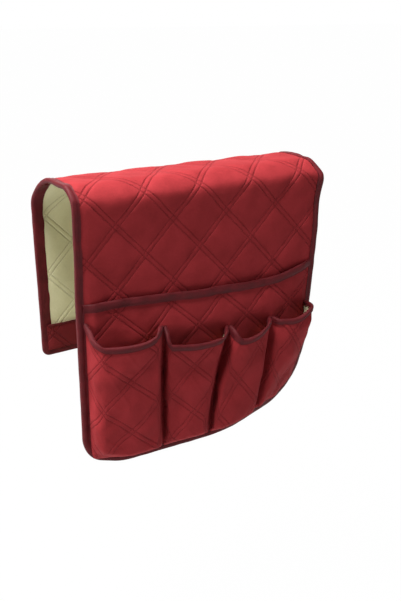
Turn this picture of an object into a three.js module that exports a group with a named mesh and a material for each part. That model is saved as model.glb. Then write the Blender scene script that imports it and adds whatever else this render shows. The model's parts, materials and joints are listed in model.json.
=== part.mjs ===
// Sofa armrest organizer: a quilted saddle that hangs over the arm of a sofa, with one wide flat pocket
// and four gusseted pockets on its front. Millimetres. +X runs along the sofa arm, -Y is the front with
// the pockets, +Z is up. The origin is the middle of the flat underside that rests on the arm.
import * as THREE from 'three';

// The saddle
const WIDTH = 330;
const FLAT_DEPTH = 31.4;
const FRONT_SHOULDER = 20.6; // inner radius of the bend from the flat into the front panel
const BACK_SHOULDER = 59.4; // inner radius of the bend from the flat into the back flap
const FRONT_DROP = 331; // from the flat underside down to the lower edge of the front panel
const BACK_DROP = 226;
const FRONT_CORNER = 56;
const BACK_CORNER = 11;

// The layers, from the arm outwards: lining, wadding, cover
const CLEARANCE = 0.3;
const LINING = 0.8;
const WADDING = 2.8;
const COVER = 0.8;
const SQUEEZED_CLOTH = 0.5; // lining and cover where the binding pinches them
const RAMP = 1.5; // width over which the layers thin down beside the binding

// The quilting: stitch lines cross and part the cover into diamonds. x and run are a place where two lines
// cross, run being the distance along the outside of the saddle, which on the front panel is the same as z.
const DIAMOND = { width: 71, height: 73.5, x: -116, run: -41.7 };
const PUFF = 2.2; // how far the middle of a diamond stands above its stitch lines
const PUFF_SLOPE = 0.12; // steepest rise of a diamond beside an edge

// The binding tape, folded over every edge
const TAPE = 0.8;
const BINDING_WIDTH = 8;
const RIM_WIDTH = 7;
const MAGAZINE_BINDING_WIDTH = 10;

// The hinges that stand for the bending of the cloth at the ends of the shoulders
const HINGE_GAP = 0.3;
const SWING_IN_DEGREES = 6;

// The wide flat pocket
const MAGAZINE_CLOTH = 0.8;
const MAGAZINE_TOP = { left: 127, right: 123.5 }; // below the flat underside
const MAGAZINE_SAG = 4.5;
const BILLOW = 8; // how far its middle stands off
const BILLOW_SIDE = 60; // run from its side edges to the full billow
const BILLOW_FOOT = 250; // depth below the flat underside at which it starts
const BILLOW_RISE = 100; // height over which it grows to the full billow

// The four gusseted pockets
const POCKET_CLOTH = 0.8;
const POCKET_LINING = 0.5;
const POCKET_BELLY = 34; // height over which a full pocket comes forward from its lower seam
const POCKET_CORNER = 9;
const POCKET_BULGE = 2.5;
const SEAM_SPACE = 1.5; // from the line of a seam to the gusset on each side of it
const EDGE_SPACE = 0.6; // from the binding to the nearest gusset or lower seam
// The seams beside the pockets: x at the rims and at the lower edge, and how deep the rims end there
const LEFT_RIM_END = 147;
const SEAM_1 = { top: -60, foot: -63, rim: 168 };
const SEAM_2 = { top: 27, foot: 3, rim: 187 };
const SEAM_3 = { top: 96, foot: 84, rim: 189 };
const RIGHT_RIM_END = 181;
// The pockets from left to right, each with two gussets and the rim across its front. A gusset's depth is
// how far its rim stands out, leanTop and leanFoot are how far its front corner stands aside from the seam,
// and full is 1 where the pocket is deep down to its foot and 0 where it tapers. A rim has how deep it lies
// at both corners, and its sag between them.
const LEFT_GUSSET_1 = { depth: 24, leanTop: 0.5, leanFoot: 0.5, full: 1 };
const RIM_1 = { left: 167, right: 163, sag: 5 };
const RIGHT_GUSSET_1 = { depth: 24, leanTop: -17, leanFoot: -10, full: 1 };
const LEFT_GUSSET_2 = { depth: 18, leanTop: -6, leanFoot: -2, full: 1 };
const RIM_2 = { left: 178, right: 186, sag: 5 };
const RIGHT_GUSSET_2 = { depth: 20, leanTop: -19, leanFoot: -12, full: 1 };
const LEFT_GUSSET_3 = { depth: 20, leanTop: 4, leanFoot: 1, full: 1 };
const RIM_3 = { left: 193, right: 191, sag: 7 };
const RIGHT_GUSSET_3 = { depth: 20, leanTop: -20, leanFoot: -14, full: 0.8 };
const LEFT_GUSSET_4 = { depth: 9, leanTop: 1, leanFoot: 1, full: 0.9 };
const RIM_4 = { left: 189, right: 182, sag: 3 };
const RIGHT_GUSSET_4 = { depth: 24, leanTop: -3, leanFoot: -4, full: 0 };

// The lower right of the front panel hangs inwards: it drifts back beyond a slanting line
const CURL_START = { x: 10, z: -331 };
const CURL_END = { x: 165, z: -180 };
const CURL_SLOPES = [
  { beyond: 0, slope: 0.2 },
  { beyond: 22, slope: 0.25 },
];

// The strip of cover cloth turned up inside the lower edge of the back flap
const HEM_HEIGHT = 40;
const HEM_CLOTH = 0.8;

// Facets
const FRONT_STEPS = 6;
const BACK_STEPS = 10;
const FLAT_STEPS = 4;
const DIAMOND_COLUMNS = 8;
const CORNER_STEPS = 8;
const RIM_SHARE = 0.85; // above this share of its height a pocket's wall is upright
const POCKET_ROWS = [0, 0.03, 0.08, 0.15, 0.24, 0.45, 0.65, RIM_SHARE, 1];
const POCKET_CORNER_STEPS = 3;
const POCKET_FRONT_STEPS = 6;
const MAGAZINE_COLUMNS = 12;
const MAGAZINE_ROWS = 3;

// Worked out from the sizes above
const THICKNESS = LINING + CLEARANCE + WADDING + CLEARANCE + COVER;
const HALF = WIDTH / 2;
const PINCH = TAPE + CLEARANCE; // from the outside of the binding to the layers in it
const FREE_EDGE = BINDING_WIDTH + CLEARANCE; // inset at which the layers leave the binding
const FULL_EDGE = FREE_EDGE + RAMP; // inset from which they have their full thickness
const BEVEL = Math.tan(THREE.MathUtils.degToRad((SWING_IN_DEGREES + 1) / 2));
const FRONT_INSIDE = -(FLAT_DEPTH / 2 + FRONT_SHOULDER);
const BACK_INSIDE = FLAT_DEPTH / 2 + BACK_SHOULDER;
const FLAT_RUN = -FRONT_SHOULDER + (Math.PI / 2) * (FRONT_SHOULDER + THICKNESS); // run where the flat starts
const BACK_RUN = FLAT_RUN + FLAT_DEPTH + (Math.PI / 2) * (BACK_SHOULDER + THICKNESS); // where the flap starts
const MAGAZINE_STAND = THICKNESS + CLEARANCE + TAPE + CLEARANCE; // cloth of the flat pocket, from the inside
const POCKET_STAND = MAGAZINE_STAND + MAGAZINE_CLOTH + CLEARANCE;
const POCKET_EDGE = HALF - BINDING_WIDTH - EDGE_SPACE;

const LAYERS = layerHeights();

// Distances of each layer from the inside face: free = between the bindings, pinched = inside them
function layerHeights() {
  const wadding = LINING + CLEARANCE;
  const cover = wadding + WADDING + CLEARANCE;
  const liningPinched = PINCH;
  const waddingPinched = liningPinched + SQUEEZED_CLOTH + CLEARANCE;
  const coverPinched = THICKNESS - PINCH - SQUEEZED_CLOTH;
  return {
    lining: { free: [0, LINING], pinched: [liningPinched, liningPinched + SQUEEZED_CLOTH] },
    wadding: { free: [wadding, wadding + WADDING], pinched: [waddingPinched, coverPinched - CLEARANCE] },
    cover: { free: [cover, cover + COVER], pinched: [coverPinched, coverPinched + SQUEEZED_CLOTH] },
  };
}

// A body is a list of points and a list of triangles between them
class Body {
  constructor() {
    this.points = [];
    this.faces = [];
  }

  add(point) {
    this.points.push(point);
    return this.points.length - 1;
  }

  quad(a, b, c, d) {
    this.faces.push([a, b, c], [a, c, d]);
  }

  // Closes a ring of points, using flat coordinates in which the ring is a plain polygon
  cap(ring, flat, clockwise) {
    for (const triangle of THREE.ShapeUtils.triangulateShape(flat, [])) {
      const turned = THREE.ShapeUtils.isClockWise(triangle.map((i) => flat[i])) !== clockwise;
      const face = triangle.map((i) => ring[i]);
      this.faces.push(turned ? face.reverse() : face);
    }
  }

  // Adds corners where a straight line in the XZ plane crosses the chosen triangles, and the same corners on
  // the edges of their neighbours
  split(line, chosen = () => true) {
    const side = this.points.map((p) => line.side(p.x, p.z));
    const cuts = new Map();
    const cut = (a, b) => {
      const key = edgeName(a, b);
      if (!cuts.has(key)) {
        const [from, to] = a < b ? [a, b] : [b, a];
        const share = side[from] / (side[from] - side[to]);
        cuts.set(key, this.add(this.points[from].clone().lerp(this.points[to], share)));
      }
      return cuts.get(key);
    };
    const faces = [];
    for (const face of this.faces.filter(chosen)) {
      const signs = face.map((i) => Math.sign(Math.round(side[i] * 1e5)));
      if (!signs.includes(1) || !signs.includes(-1)) {
        faces.push(face);
        continue;
      }
      const on = signs.indexOf(0);
      if (on >= 0) {
        const [a, b, c] = [face[on], face[(on + 1) % 3], face[(on + 2) % 3]];
        const m = cut(b, c);
        faces.push([a, b, m], [a, m, c]);
        continue;
      }
      const lone = signs.findIndex((s, k) => s !== signs[(k + 1) % 3] && s !== signs[(k + 2) % 3]);
      const [a, b, c] = [face[lone], face[(lone + 1) % 3], face[(lone + 2) % 3]];
      const m = cut(a, b);
      const n = cut(a, c);
      faces.push([a, m, n], [m, b, c], [m, c, n]);
    }
    for (const face of this.faces.filter((face) => !chosen(face))) {
      const ring = face.flatMap((a, i) => [a, cuts.get(edgeName(a, face[(i + 1) % 3])) ?? a]);
      const first = ring.findIndex((a, i) => i % 2 === 1 && a !== ring[i - 1]);
      const turned = first < 0 ? face : [...ring.slice(first), ...ring.slice(0, first)];
      const fan = [...new Set(turned)];
      for (let i = 1; i + 1 < fan.length; i++) faces.push([fan[0], fan[i], fan[i + 1]]);
    }
    this.faces = faces;
  }

  // Moves every point along Y by a field that is straight between its creases
  shear(field) {
    for (const line of field.creases) this.split(line);
    for (const p of this.points) p.y += field.value(p.x, p.z);
    return this;
  }

  // Raises the outer face into the diamonds of the quilting. Here y is the height off the inside face, run()
  // turns z into the distance along the saddle and inset() is the distance from the quilting's nearest edge.
  quilt(run, inset) {
    for (const p of this.points) {
      if (p.y < THICKNESS - CLEARANCE) continue;
      p.y += Math.max(0, Math.min(puff(p.x, run(p.z)), PUFF_SLOPE * inset(p.x, p.z)));
    }
  }

  geometry() {
    let volume = 0;
    for (const [a, b, c] of this.faces) {
      volume += this.points[a].dot(this.points[b].clone().cross(this.points[c]));
    }
    const faces = volume > 0 ? this.faces : this.faces.map(([a, b, c]) => [a, c, b]);
    const made = new THREE.BufferGeometry();
    made.setFromPoints(this.points);
    made.setIndex(faces.flat());
    made.computeVertexNormals();
    return made;
  }
}

function edgeName(a, b) {
  return a < b ? `${a},${b}` : `${b},${a}`;
}

// A straight line in the XZ plane, with its normal; side() is the distance to it
function creaseLine(x, z, normalX, normalZ) {
  const length = Math.hypot(normalX, normalZ);
  const nx = normalX / length;
  const nz = normalZ / length;
  return { side: (px, pz) => (px - x) * nx + (pz - z) * nz };
}

// Drift of the lower right of the front panel towards the arm
function curlField() {
  const alongX = CURL_END.x - CURL_START.x;
  const alongZ = CURL_END.z - CURL_START.z;
  const length = Math.hypot(alongX, alongZ);
  const nx = alongZ / length;
  const nz = -alongX / length;
  const creases = CURL_SLOPES.map((s) => ({
    ...creaseLine(CURL_START.x + nx * s.beyond, CURL_START.z + nz * s.beyond, nx, nz),
    slope: s.slope,
  }));
  const value = (x, z) => creases.reduce((sum, c) => sum + c.slope * Math.max(0, c.side(x, z)), 0);
  return { creases, value };
}

// The flat pocket and all that is sewn to it stands off the cover like a low tent
function billowField() {
  const edge = HALF - BINDING_WIDTH;
  const foot = -BILLOW_FOOT;
  const value = (x, z) => {
    const across = (edge - Math.abs(x)) / BILLOW_SIDE;
    const up = (z - foot) / BILLOW_RISE;
    return -BILLOW * THREE.MathUtils.clamp(Math.min(across, up), 0, 1);
  };
  const creases = [creaseLine(0, foot, 0, 1), creaseLine(0, foot + BILLOW_RISE, 0, 1)];
  for (const hand of [-1, 1]) {
    creases.push(creaseLine(hand * edge, 0, 1, 0), creaseLine(hand * (edge - BILLOW_SIDE), 0, 1, 0));
    creases.push(creaseLine(hand * edge, foot, BILLOW_RISE, hand * BILLOW_SIDE));
  }
  return { creases, value };
}

// The stitch lines, and the lines through the middles of the diamonds
function quiltLines() {
  const lines = [];
  const reach = Math.ceil(WIDTH / DIAMOND.width + (2 * (FRONT_DROP + BACK_RUN + BACK_DROP)) / DIAMOND.height);
  for (const [a, b] of [[1, 1], [1, -1], [2, 0], [0, 2]]) {
    for (let k = -reach; k <= reach; k++) {
      lines.push((x, run) => {
        const across = (a * (x - DIAMOND.x)) / DIAMOND.width;
        const along = (b * (run - DIAMOND.run)) / DIAMOND.height;
        return (across + along - k) * DIAMOND.width;
      });
    }
  }
  return lines;
}

// Height of the quilting above its stitch lines
function puff(x, run) {
  const across = (x - DIAMOND.x) / DIAMOND.width;
  const along = (run - DIAMOND.run) / DIAMOND.height;
  const off = [across + along, across - along].map((v) => Math.abs(v - Math.round(v)));
  return 2 * PUFF * Math.min(...off);
}

// A body that follows rings of points, all with the same count, capped at both ends
function sweep(rings, flatSection) {
  const body = new Body();
  const indices = rings.map((ring) => ring.map((point) => body.add(point)));
  const count = flatSection.length;
  const clockwise = THREE.ShapeUtils.isClockWise(flatSection);
  for (let i = 0; i + 1 < indices.length; i++) {
    for (let j = 0; j < count; j++) {
      const k = (j + 1) % count;
      const [a, b, c, d] = [indices[i][j], indices[i][k], indices[i + 1][k], indices[i + 1][j]];
      if (clockwise) body.quad(a, d, c, b);
      else body.quad(a, b, c, d);
    }
  }
  body.cap(indices[0], flatSection, true);
  body.cap(indices[indices.length - 1], flatSection, false);
  return body;
}

// A sheet with a thickness: two grids of points joined round their edges
function sheet(outer, inner, columns, rows) {
  const body = new Body();
  const grid = (surface) => rows.map((v) => columns.map((u) => body.add(surface(u, v))));
  const front = grid(outer);
  const back = grid(inner);
  const lastRow = rows.length - 1;
  const lastColumn = columns.length - 1;
  for (let r = 0; r < lastRow; r++) {
    for (let c = 0; c < lastColumn; c++) {
      body.quad(front[r][c], front[r][c + 1], front[r + 1][c + 1], front[r + 1][c]);
      body.quad(back[r][c], back[r + 1][c], back[r + 1][c + 1], back[r][c + 1]);
    }
  }
  for (let c = 0; c < lastColumn; c++) {
    body.quad(front[0][c], back[0][c], back[0][c + 1], front[0][c + 1]);
    body.quad(front[lastRow][c], front[lastRow][c + 1], back[lastRow][c + 1], back[lastRow][c]);
  }
  for (let r = 0; r < lastRow; r++) {
    body.quad(front[r][0], front[r + 1][0], back[r + 1][0], back[r][0]);
    body.quad(front[r][lastColumn], back[r][lastColumn], back[r + 1][lastColumn], front[r + 1][lastColumn]);
  }
  return body;
}

// Stations of the top, from the end of the front shoulder over the flat to the end of the back shoulder, each
// with its run. at(n) gives y and z at a distance n outside the inside face; the two ends are bevelled.
function topStations() {
  const stations = [];
  const shoulder = (hand, radius, steps, start) => {
    const centre = hand * (FLAT_DEPTH / 2);
    for (let k = 0; k <= steps; k++) {
      const share = k / steps;
      const angle = (Math.PI / 2) * (hand < 0 ? 1 - share : share);
      const end = hand < 0 ? k === 0 : k === steps;
      const at = (n) => ({
        y: centre + hand * (radius + n) * Math.sin(angle),
        z: end ? -radius + HINGE_GAP / 2 + (THICKNESS - n) * BEVEL : -radius + (radius + n) * Math.cos(angle),
      });
      stations.push({ run: start + (Math.PI / 2) * (radius + THICKNESS) * share, at });
    }
  };
  shoulder(-1, FRONT_SHOULDER, FRONT_STEPS, -FRONT_SHOULDER);
  for (const share of evenly(FLAT_STEPS).slice(1, -1)) {
    const across = FLAT_DEPTH * share;
    stations.push({ run: FLAT_RUN + across, at: (n) => ({ y: across - FLAT_DEPTH / 2, z: n }) });
  }
  shoulder(1, BACK_SHOULDER, BACK_STEPS, FLAT_RUN + FLAT_DEPTH);
  return stations;
}

// A body along the top is made flat, with its height off the inside face as y and its run as z, quilted if it
// is the cover, and then bent over the arm
function alongTop(section, quilted) {
  const stations = topStations();
  const rings = stations.map(({ run }) => section.map(([x, n]) => new THREE.Vector3(x, n, run)));
  const body = sweep(rings, flatten(section));
  const inset = (x, run) => Math.min(HALF - FULL_EDGE - Math.abs(x), run + FRONT_SHOULDER, BACK_RUN - run);
  if (quilted) body.quilt((run) => run, inset);
  for (const p of body.points) {
    const k = Math.min(stations.findLastIndex(({ run }) => run <= p.z), stations.length - 2);
    const [from, to] = [stations[k], stations[k + 1]];
    const share = (p.z - from.run) / (to.run - from.run);
    const [start, end] = [from.at(p.y), to.at(p.y)];
    p.set(p.x, THREE.MathUtils.lerp(start.y, end.y, share), THREE.MathUtils.lerp(start.z, end.z, share));
  }
  return body;
}

function flatten(section) {
  return section.map(([a, b]) => new THREE.Vector2(a, b));
}

// Section of a layer of the top across its width: pinched near both ends, with columns of points for the
// quilting on the outer face of the cover
function layerSection({ free, pinched }, quilted) {
  const full = HALF - FULL_EDGE;
  const ramp = HALF - FREE_EDGE;
  const end = HALF - PINCH;
  const half = [[full, free[0]], [ramp, pinched[0]], [end, pinched[0]], [end, pinched[1]]];
  half.push([ramp, pinched[1]], [full, free[1]]);
  const mirrored = half.map(([x, n]) => [-x, n]).reverse();
  const step = DIAMOND.width / DIAMOND_COLUMNS;
  const columns = [];
  for (let x = DIAMOND.x + Math.floor((full - DIAMOND.x) / step) * step; quilted && x > -full; x -= step) {
    columns.push([x, free[1]]);
  }
  return [...half, ...columns, ...mirrored];
}

// Section of the binding: inset from the edge, distance from the inside face
function bindingSection() {
  return [
    [0, 0],
    [0, THICKNESS],
    [BINDING_WIDTH, THICKNESS],
    [BINDING_WIDTH, THICKNESS - TAPE],
    [TAPE, THICKNESS - TAPE],
    [TAPE, TAPE],
    [BINDING_WIDTH, TAPE],
    [BINDING_WIDTH, 0],
  ];
}

// The front panel or the back flap. Its bodies are made with their height off the inside face as y, and then
// stand at their place. run() is the distance along the saddle, and lowest is where the quilting ends.
function hangingPanel({ hand, inside, shoulder, drop, corner, lowest, run }) {
  const top = (n) => -shoulder - HINGE_GAP / 2 - (THICKNESS - n) * BEVEL;
  const centreX = HALF - corner;
  const centreZ = -drop + corner;
  // Open outline from the right end of the hinge line down and round to the left end
  const outline = (inset, n) => {
    const points = [[HALF - inset, top(n)]];
    const radius = corner - inset;
    for (const side of [1, -1]) {
      for (let k = 0; k <= CORNER_STEPS; k++) {
        const angle = (Math.PI / 2) * (side > 0 ? k / CORNER_STEPS : 1 - k / CORNER_STEPS);
        const x = side * (centreX + radius * Math.cos(angle));
        points.push([x, centreZ - radius * Math.sin(angle)]);
      }
    }
    points.push([-(HALF - inset), top(n)]);
    return points.map(([x, z]) => new THREE.Vector3(x, n, z));
  };
  // Distance from the edges of the quilting
  const inset = (x, z) => {
    const pastX = Math.max(0, Math.abs(x) - centreX);
    const pastZ = Math.max(0, centreZ - z);
    const round = pastX > 0 && pastZ > 0 ? corner - Math.hypot(pastX, pastZ) : Infinity;
    return Math.min(Math.min(round, HALF - Math.abs(x), z + drop) - FULL_EDGE, -shoulder - z, z - lowest);
  };
  const stand = (body) => {
    for (const p of body.points) p.y = inside + hand * p.y;
    return body;
  };
  return { outline, inset, run, stand, lowest };
}

// A layer of a panel: thin inside the binding, full between
function panelLayer(panel, { free, pinched }, quilted) {
  const loops = [
    [FULL_EDGE, free[0]],
    [FREE_EDGE, pinched[0]],
    [PINCH, pinched[0]],
    [PINCH, pinched[1]],
    [FREE_EDGE, pinched[1]],
    [FULL_EDGE, free[1]],
  ];
  const body = new Body();
  const rings = loops.map(([inset, n]) => panel.outline(inset, n).map((point) => body.add(point)));
  const last = rings[0].length - 1;
  for (let i = 0; i + 1 < rings.length; i++) {
    for (let j = 0; j < last; j++) {
      body.quad(rings[i][j], rings[i][j + 1], rings[i + 1][j + 1], rings[i + 1][j]);
    }
  }
  const flat = (ring) => ring.map((i) => new THREE.Vector2(body.points[i].x, body.points[i].z));
  body.cap(rings[0], flat(rings[0]), false);
  body.cap(rings[rings.length - 1], flat(rings[rings.length - 1]), true);
  const end = [...rings.map((ring) => ring[0]), ...rings.map((ring) => ring[last]).reverse()];
  body.cap(end, end.map((i) => new THREE.Vector2(body.points[i].x, body.points[i].y)), false);
  if (quilted) {
    const outside = (p) => p.y > THICKNESS - CLEARANCE && p.z > panel.lowest - CLEARANCE;
    const chosen = (face) => face.every((i) => outside(body.points[i]));
    body.split(creaseLine(0, panel.lowest, 0, 1));
    for (const line of quiltLines()) body.split({ side: (x, z) => line(x, panel.run(z)) }, chosen);
    body.quilt(panel.run, panel.inset);
  }
  return panel.stand(body);
}

function panelBinding(panel) {
  const section = bindingSection();
  const lines = section.map(([inset, n]) => panel.outline(inset, n));
  const rings = lines[0].map((_, k) => lines.map((line) => line[k]));
  return panel.stand(sweep(rings, flatten(section)));
}

// Height of the lower seam of the pockets above a place on the front panel's lower edge
function lowerSeam(x) {
  const space = BINDING_WIDTH + EDGE_SPACE;
  const radius = FRONT_CORNER - space;
  const past = Math.min(Math.max(0, Math.abs(x) - (HALF - FRONT_CORNER)), radius);
  return -FRONT_DROP + FRONT_CORNER - Math.sqrt(radius * radius - past * past);
}

function magazineTop(x) {
  const share = (x + HALF) / WIDTH;
  const straight = THREE.MathUtils.lerp(MAGAZINE_TOP.left, MAGAZINE_TOP.right, share);
  return -straight - MAGAZINE_SAG * Math.sin(Math.PI * share);
}

function evenly(count) {
  return Array.from({ length: count + 1 }, (_, k) => k / count);
}

// The cloth of the wide flat pocket, from its bound rim down to the lower seam
function magazineCloth() {
  const surface = (stand) => (u, v) => {
    const x = THREE.MathUtils.lerp(-POCKET_EDGE, POCKET_EDGE, u);
    const z = THREE.MathUtils.lerp(lowerSeam(x), magazineTop(x), v);
    return new THREE.Vector3(x, FRONT_INSIDE - stand, z);
  };
  const [outer, inner] = [surface(MAGAZINE_STAND + MAGAZINE_CLOTH), surface(MAGAZINE_STAND)];
  return sheet(outer, inner, evenly(MAGAZINE_COLUMNS), evenly(MAGAZINE_ROWS));
}

// A tape folded over a rim, as a section: stand is the place across the tape, rise the height above the rim
function foldedSection(cloth, width) {
  const outside = cloth + CLEARANCE;
  return [
    [-CLEARANCE - TAPE, -width],
    [-CLEARANCE - TAPE, CLEARANCE + TAPE],
    [outside + TAPE, CLEARANCE + TAPE],
    [outside + TAPE, -width],
    [outside, -width],
    [outside, CLEARANCE],
    [-CLEARANCE, CLEARANCE],
    [-CLEARANCE, -width],
  ];
}

function magazineBinding() {
  const section = foldedSection(MAGAZINE_CLOTH, MAGAZINE_BINDING_WIDTH);
  const rings = evenly(MAGAZINE_COLUMNS).map((u) => {
    const x = THREE.MathUtils.lerp(-POCKET_EDGE, POCKET_EDGE, u);
    const inside = FRONT_INSIDE - MAGAZINE_STAND;
    return section.map(([stand, rise]) => new THREE.Vector3(x, inside - stand, magazineTop(x) + rise));
  });
  return sweep(rings, flatten(section));
}

// One gusseted pocket between the lines where its two gussets are sewn on
function gussetedPocket(leftSeam, rightSeam, { left, right, rim }) {
  // Places along the pocket's developed width: up the left gusset, across the front, back along the right
  const turn = evenly(POCKET_CORNER_STEPS);
  const columns = [
    { across: 0, forward: false },
    ...turn.map((t) => ({ across: 0, forward: true, turn: t })),
    ...evenly(POCKET_FRONT_STEPS).slice(1, -1).map((t) => ({ across: t, forward: true })),
    ...turn.map((t) => ({ across: 1, forward: true, turn: 1 - t })),
    { across: 1, forward: false },
  ];
  const height = FRONT_DROP - rim.left;
  const least = POCKET_CLOTH + POCKET_LINING + 2 * CLEARANCE;

  // How far forward the wall stands at a share of the height, between 0 at the foot and 1 at the rim
  const fullness = (v, full) => {
    const belly = Math.sin((Math.PI / 2) * Math.min(1, (v * height) / POCKET_BELLY));
    const rise = Math.min(1, v / RIM_SHARE);
    return THREE.MathUtils.lerp(rise * rise, belly, full);
  };

  // A point of the wall; inset is how far inside the outer face it lies
  const point = (column, v, inset) => {
    const lerp = THREE.MathUtils.lerp;
    const corner = (seam, side, by) => {
      const share = fullness(v, side.full);
      const depth = least + (side.depth - least) * share;
      const slant = (lerp(side.leanFoot, side.leanTop, v) * share) / depth;
      return { seam: lerp(seam.foot, seam.top, v) + by, slant, depth: depth - inset };
    };
    const first = corner(leftSeam, left, inset);
    const last = corner(rightSeam, right, -inset);
    const radii = [first, last].map((c) => Math.min(POCKET_CORNER - inset, c.depth * 0.9));
    const own = column.across ? last : first;
    const inwards = column.across ? -1 : 1;
    let x = own.seam;
    let out = 0;
    if (column.turn !== undefined) {
      const radius = column.across ? radii[1] : radii[0];
      const angle = (Math.PI / 2) * column.turn;
      out = own.depth - radius + radius * Math.sin(angle);
      x += own.slant * out + inwards * radius * (1 - Math.cos(angle));
    } else if (column.forward) {
      const from = first.seam + first.slant * first.depth + radii[0];
      const to = last.seam + last.slant * last.depth - radii[1];
      x = lerp(from, to, column.across);
      const bulge = POCKET_BULGE * Math.min(1, v / RIM_SHARE) * Math.sin(Math.PI * column.across);
      out = lerp(first.depth, last.depth, column.across) + bulge;
    }
    const footX = lerp(leftSeam.foot, rightSeam.foot, column.across);
    const z = lerp(lowerSeam(footX), rimHeight(column), v);
    return new THREE.Vector3(x, FRONT_INSIDE - POCKET_STAND - out, z);
  };

  const rimHeight = (column) => {
    if (!column.forward) return -(column.across ? rightSeam.rim : leftSeam.rim);
    const sag = (rim.sag * (1 - Math.cos(2 * Math.PI * column.across))) / 2;
    return -THREE.MathUtils.lerp(rim.left, rim.right, column.across) - sag;
  };

  const wall = (inset, thickness) => {
    const outer = (column, v) => point(column, v, inset);
    const inner = (column, v) => point(column, v, inset + thickness);
    return sheet(outer, inner, columns, POCKET_ROWS);
  };

  const binding = () => {
    const cloth = POCKET_CLOTH + CLEARANCE + POCKET_LINING;
    const section = foldedSection(cloth, RIM_WIDTH);
    const rings = columns.map((column) =>
      section.map(([stand, rise]) => {
        const high = point(column, 1, stand);
        const low = point(column, RIM_SHARE, stand);
        return high.clone().lerp(low, rise / (low.z - high.z));
      }),
    );
    return sweep(rings, flatten(section));
  };

  return {
    cloth: wall(0, POCKET_CLOTH),
    lining: wall(POCKET_CLOTH + CLEARANCE, POCKET_LINING),
    binding: binding(),
  };
}

// The strip of cover cloth inside the back flap
function hemFacing() {
  const surface = (stand) => (u, v) => {
    const edge = HALF - FREE_EDGE;
    const x = THREE.MathUtils.lerp(-edge, edge, u);
    const foot = -BACK_DROP + FREE_EDGE;
    const z = THREE.MathUtils.lerp(foot, foot - FREE_EDGE + HEM_HEIGHT, v);
    return new THREE.Vector3(x, BACK_INSIDE - stand, z);
  };
  return sheet(surface(CLEARANCE + HEM_CLOTH), surface(CLEARANCE), [0, 1], [0, 1]);
}

const COVER_CLOTH = new THREE.MeshStandardMaterial({ color: 0x962530, roughness: 0.85, metalness: 0 });
const WADDING_FILL = new THREE.MeshStandardMaterial({ color: 0xf0eee8, roughness: 1, metalness: 0 });
const LINING_CLOTH = new THREE.MeshStandardMaterial({ color: 0xb2a880, roughness: 0.9, metalness: 0 });
const BINDING_TAPE = new THREE.MeshStandardMaterial({ color: 0x551a26, roughness: 0.55, metalness: 0 });
const FINISHES = { cover: COVER_CLOTH, wadding: WADDING_FILL, lining: LINING_CLOTH };

const organizer = new THREE.Group();
organizer.name = 'sofa_armrest_organizer';

function place(name, body, material) {
  const mesh = new THREE.Mesh(body.geometry(), material);
  mesh.name = name;
  organizer.add(mesh);
}

function buildTop() {
  for (const layer of ['lining', 'wadding', 'cover']) {
    const quilted = layer === 'cover';
    place(`${layer}_top`, alongTop(layerSection(LAYERS[layer], quilted), quilted), FINISHES[layer]);
  }
  for (const [name, hand] of [['binding_top_left', -1], ['binding_top_right', 1]]) {
    const section = bindingSection().map(([inset, n]) => [hand * (HALF - inset), n]);
    place(name, alongTop(section, false), BINDING_TAPE);
  }
}

function buildFront() {
  const panel = hangingPanel({
    hand: -1,
    inside: FRONT_INSIDE,
    shoulder: FRONT_SHOULDER,
    drop: FRONT_DROP,
    corner: FRONT_CORNER,
    lowest: -MAGAZINE_TOP.left,
    run: (z) => z,
  });
  const curl = curlField();
  const billow = billowField();
  for (const layer of ['lining', 'wadding', 'cover']) {
    place(`${layer}_front`, panelLayer(panel, LAYERS[layer], layer === 'cover').shear(curl), FINISHES[layer]);
  }
  place('binding_front', panelBinding(panel).shear(curl), BINDING_TAPE);
  place('magazine_pocket_cloth', magazineCloth().shear(billow).shear(curl), COVER_CLOTH);
  place('magazine_pocket_binding', magazineBinding().shear(billow).shear(curl), BINDING_TAPE);

  const aside = (seam, by) => ({ ...seam, top: seam.top + by, foot: seam.foot + by });
  const leftEdge = { top: -POCKET_EDGE, foot: -POCKET_EDGE, rim: LEFT_RIM_END };
  const rightEdge = { top: POCKET_EDGE, foot: POCKET_EDGE, rim: RIGHT_RIM_END };
  const pockets = [
    [leftEdge, LEFT_GUSSET_1, RIM_1, RIGHT_GUSSET_1, aside(SEAM_1, -SEAM_SPACE)],
    [aside(SEAM_1, SEAM_SPACE), LEFT_GUSSET_2, RIM_2, RIGHT_GUSSET_2, aside(SEAM_2, -SEAM_SPACE)],
    [aside(SEAM_2, SEAM_SPACE), LEFT_GUSSET_3, RIM_3, RIGHT_GUSSET_3, aside(SEAM_3, -SEAM_SPACE)],
    [aside(SEAM_3, SEAM_SPACE), LEFT_GUSSET_4, RIM_4, RIGHT_GUSSET_4, rightEdge],
  ];
  pockets.forEach(([leftSeam, left, rim, right, rightSeam], k) => {
    const pocket = gussetedPocket(leftSeam, rightSeam, { left, right, rim });
    const name = `pocket_${k + 1}`;
    place(`${name}_cloth`, pocket.cloth.shear(billow).shear(curl), COVER_CLOTH);
    place(`${name}_lining`, pocket.lining.shear(billow).shear(curl), LINING_CLOTH);
    place(`${name}_binding`, pocket.binding.shear(billow).shear(curl), BINDING_TAPE);
  });
}

function buildBack() {
  const panel = hangingPanel({
    hand: 1,
    inside: BACK_INSIDE,
    shoulder: BACK_SHOULDER,
    drop: BACK_DROP,
    corner: BACK_CORNER,
    lowest: -BACK_DROP,
    run: (z) => BACK_RUN - BACK_SHOULDER - z,
  });
  for (const layer of ['lining', 'wadding', 'cover']) {
    place(`${layer}_back`, panelLayer(panel, LAYERS[layer], layer === 'cover'), FINISHES[layer]);
  }
  place('binding_back', panelBinding(panel), BINDING_TAPE);
  place('hem_facing_back', hemFacing(), COVER_CLOTH);
}

buildTop();
buildFront();
buildBack();

export default organizer;
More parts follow.
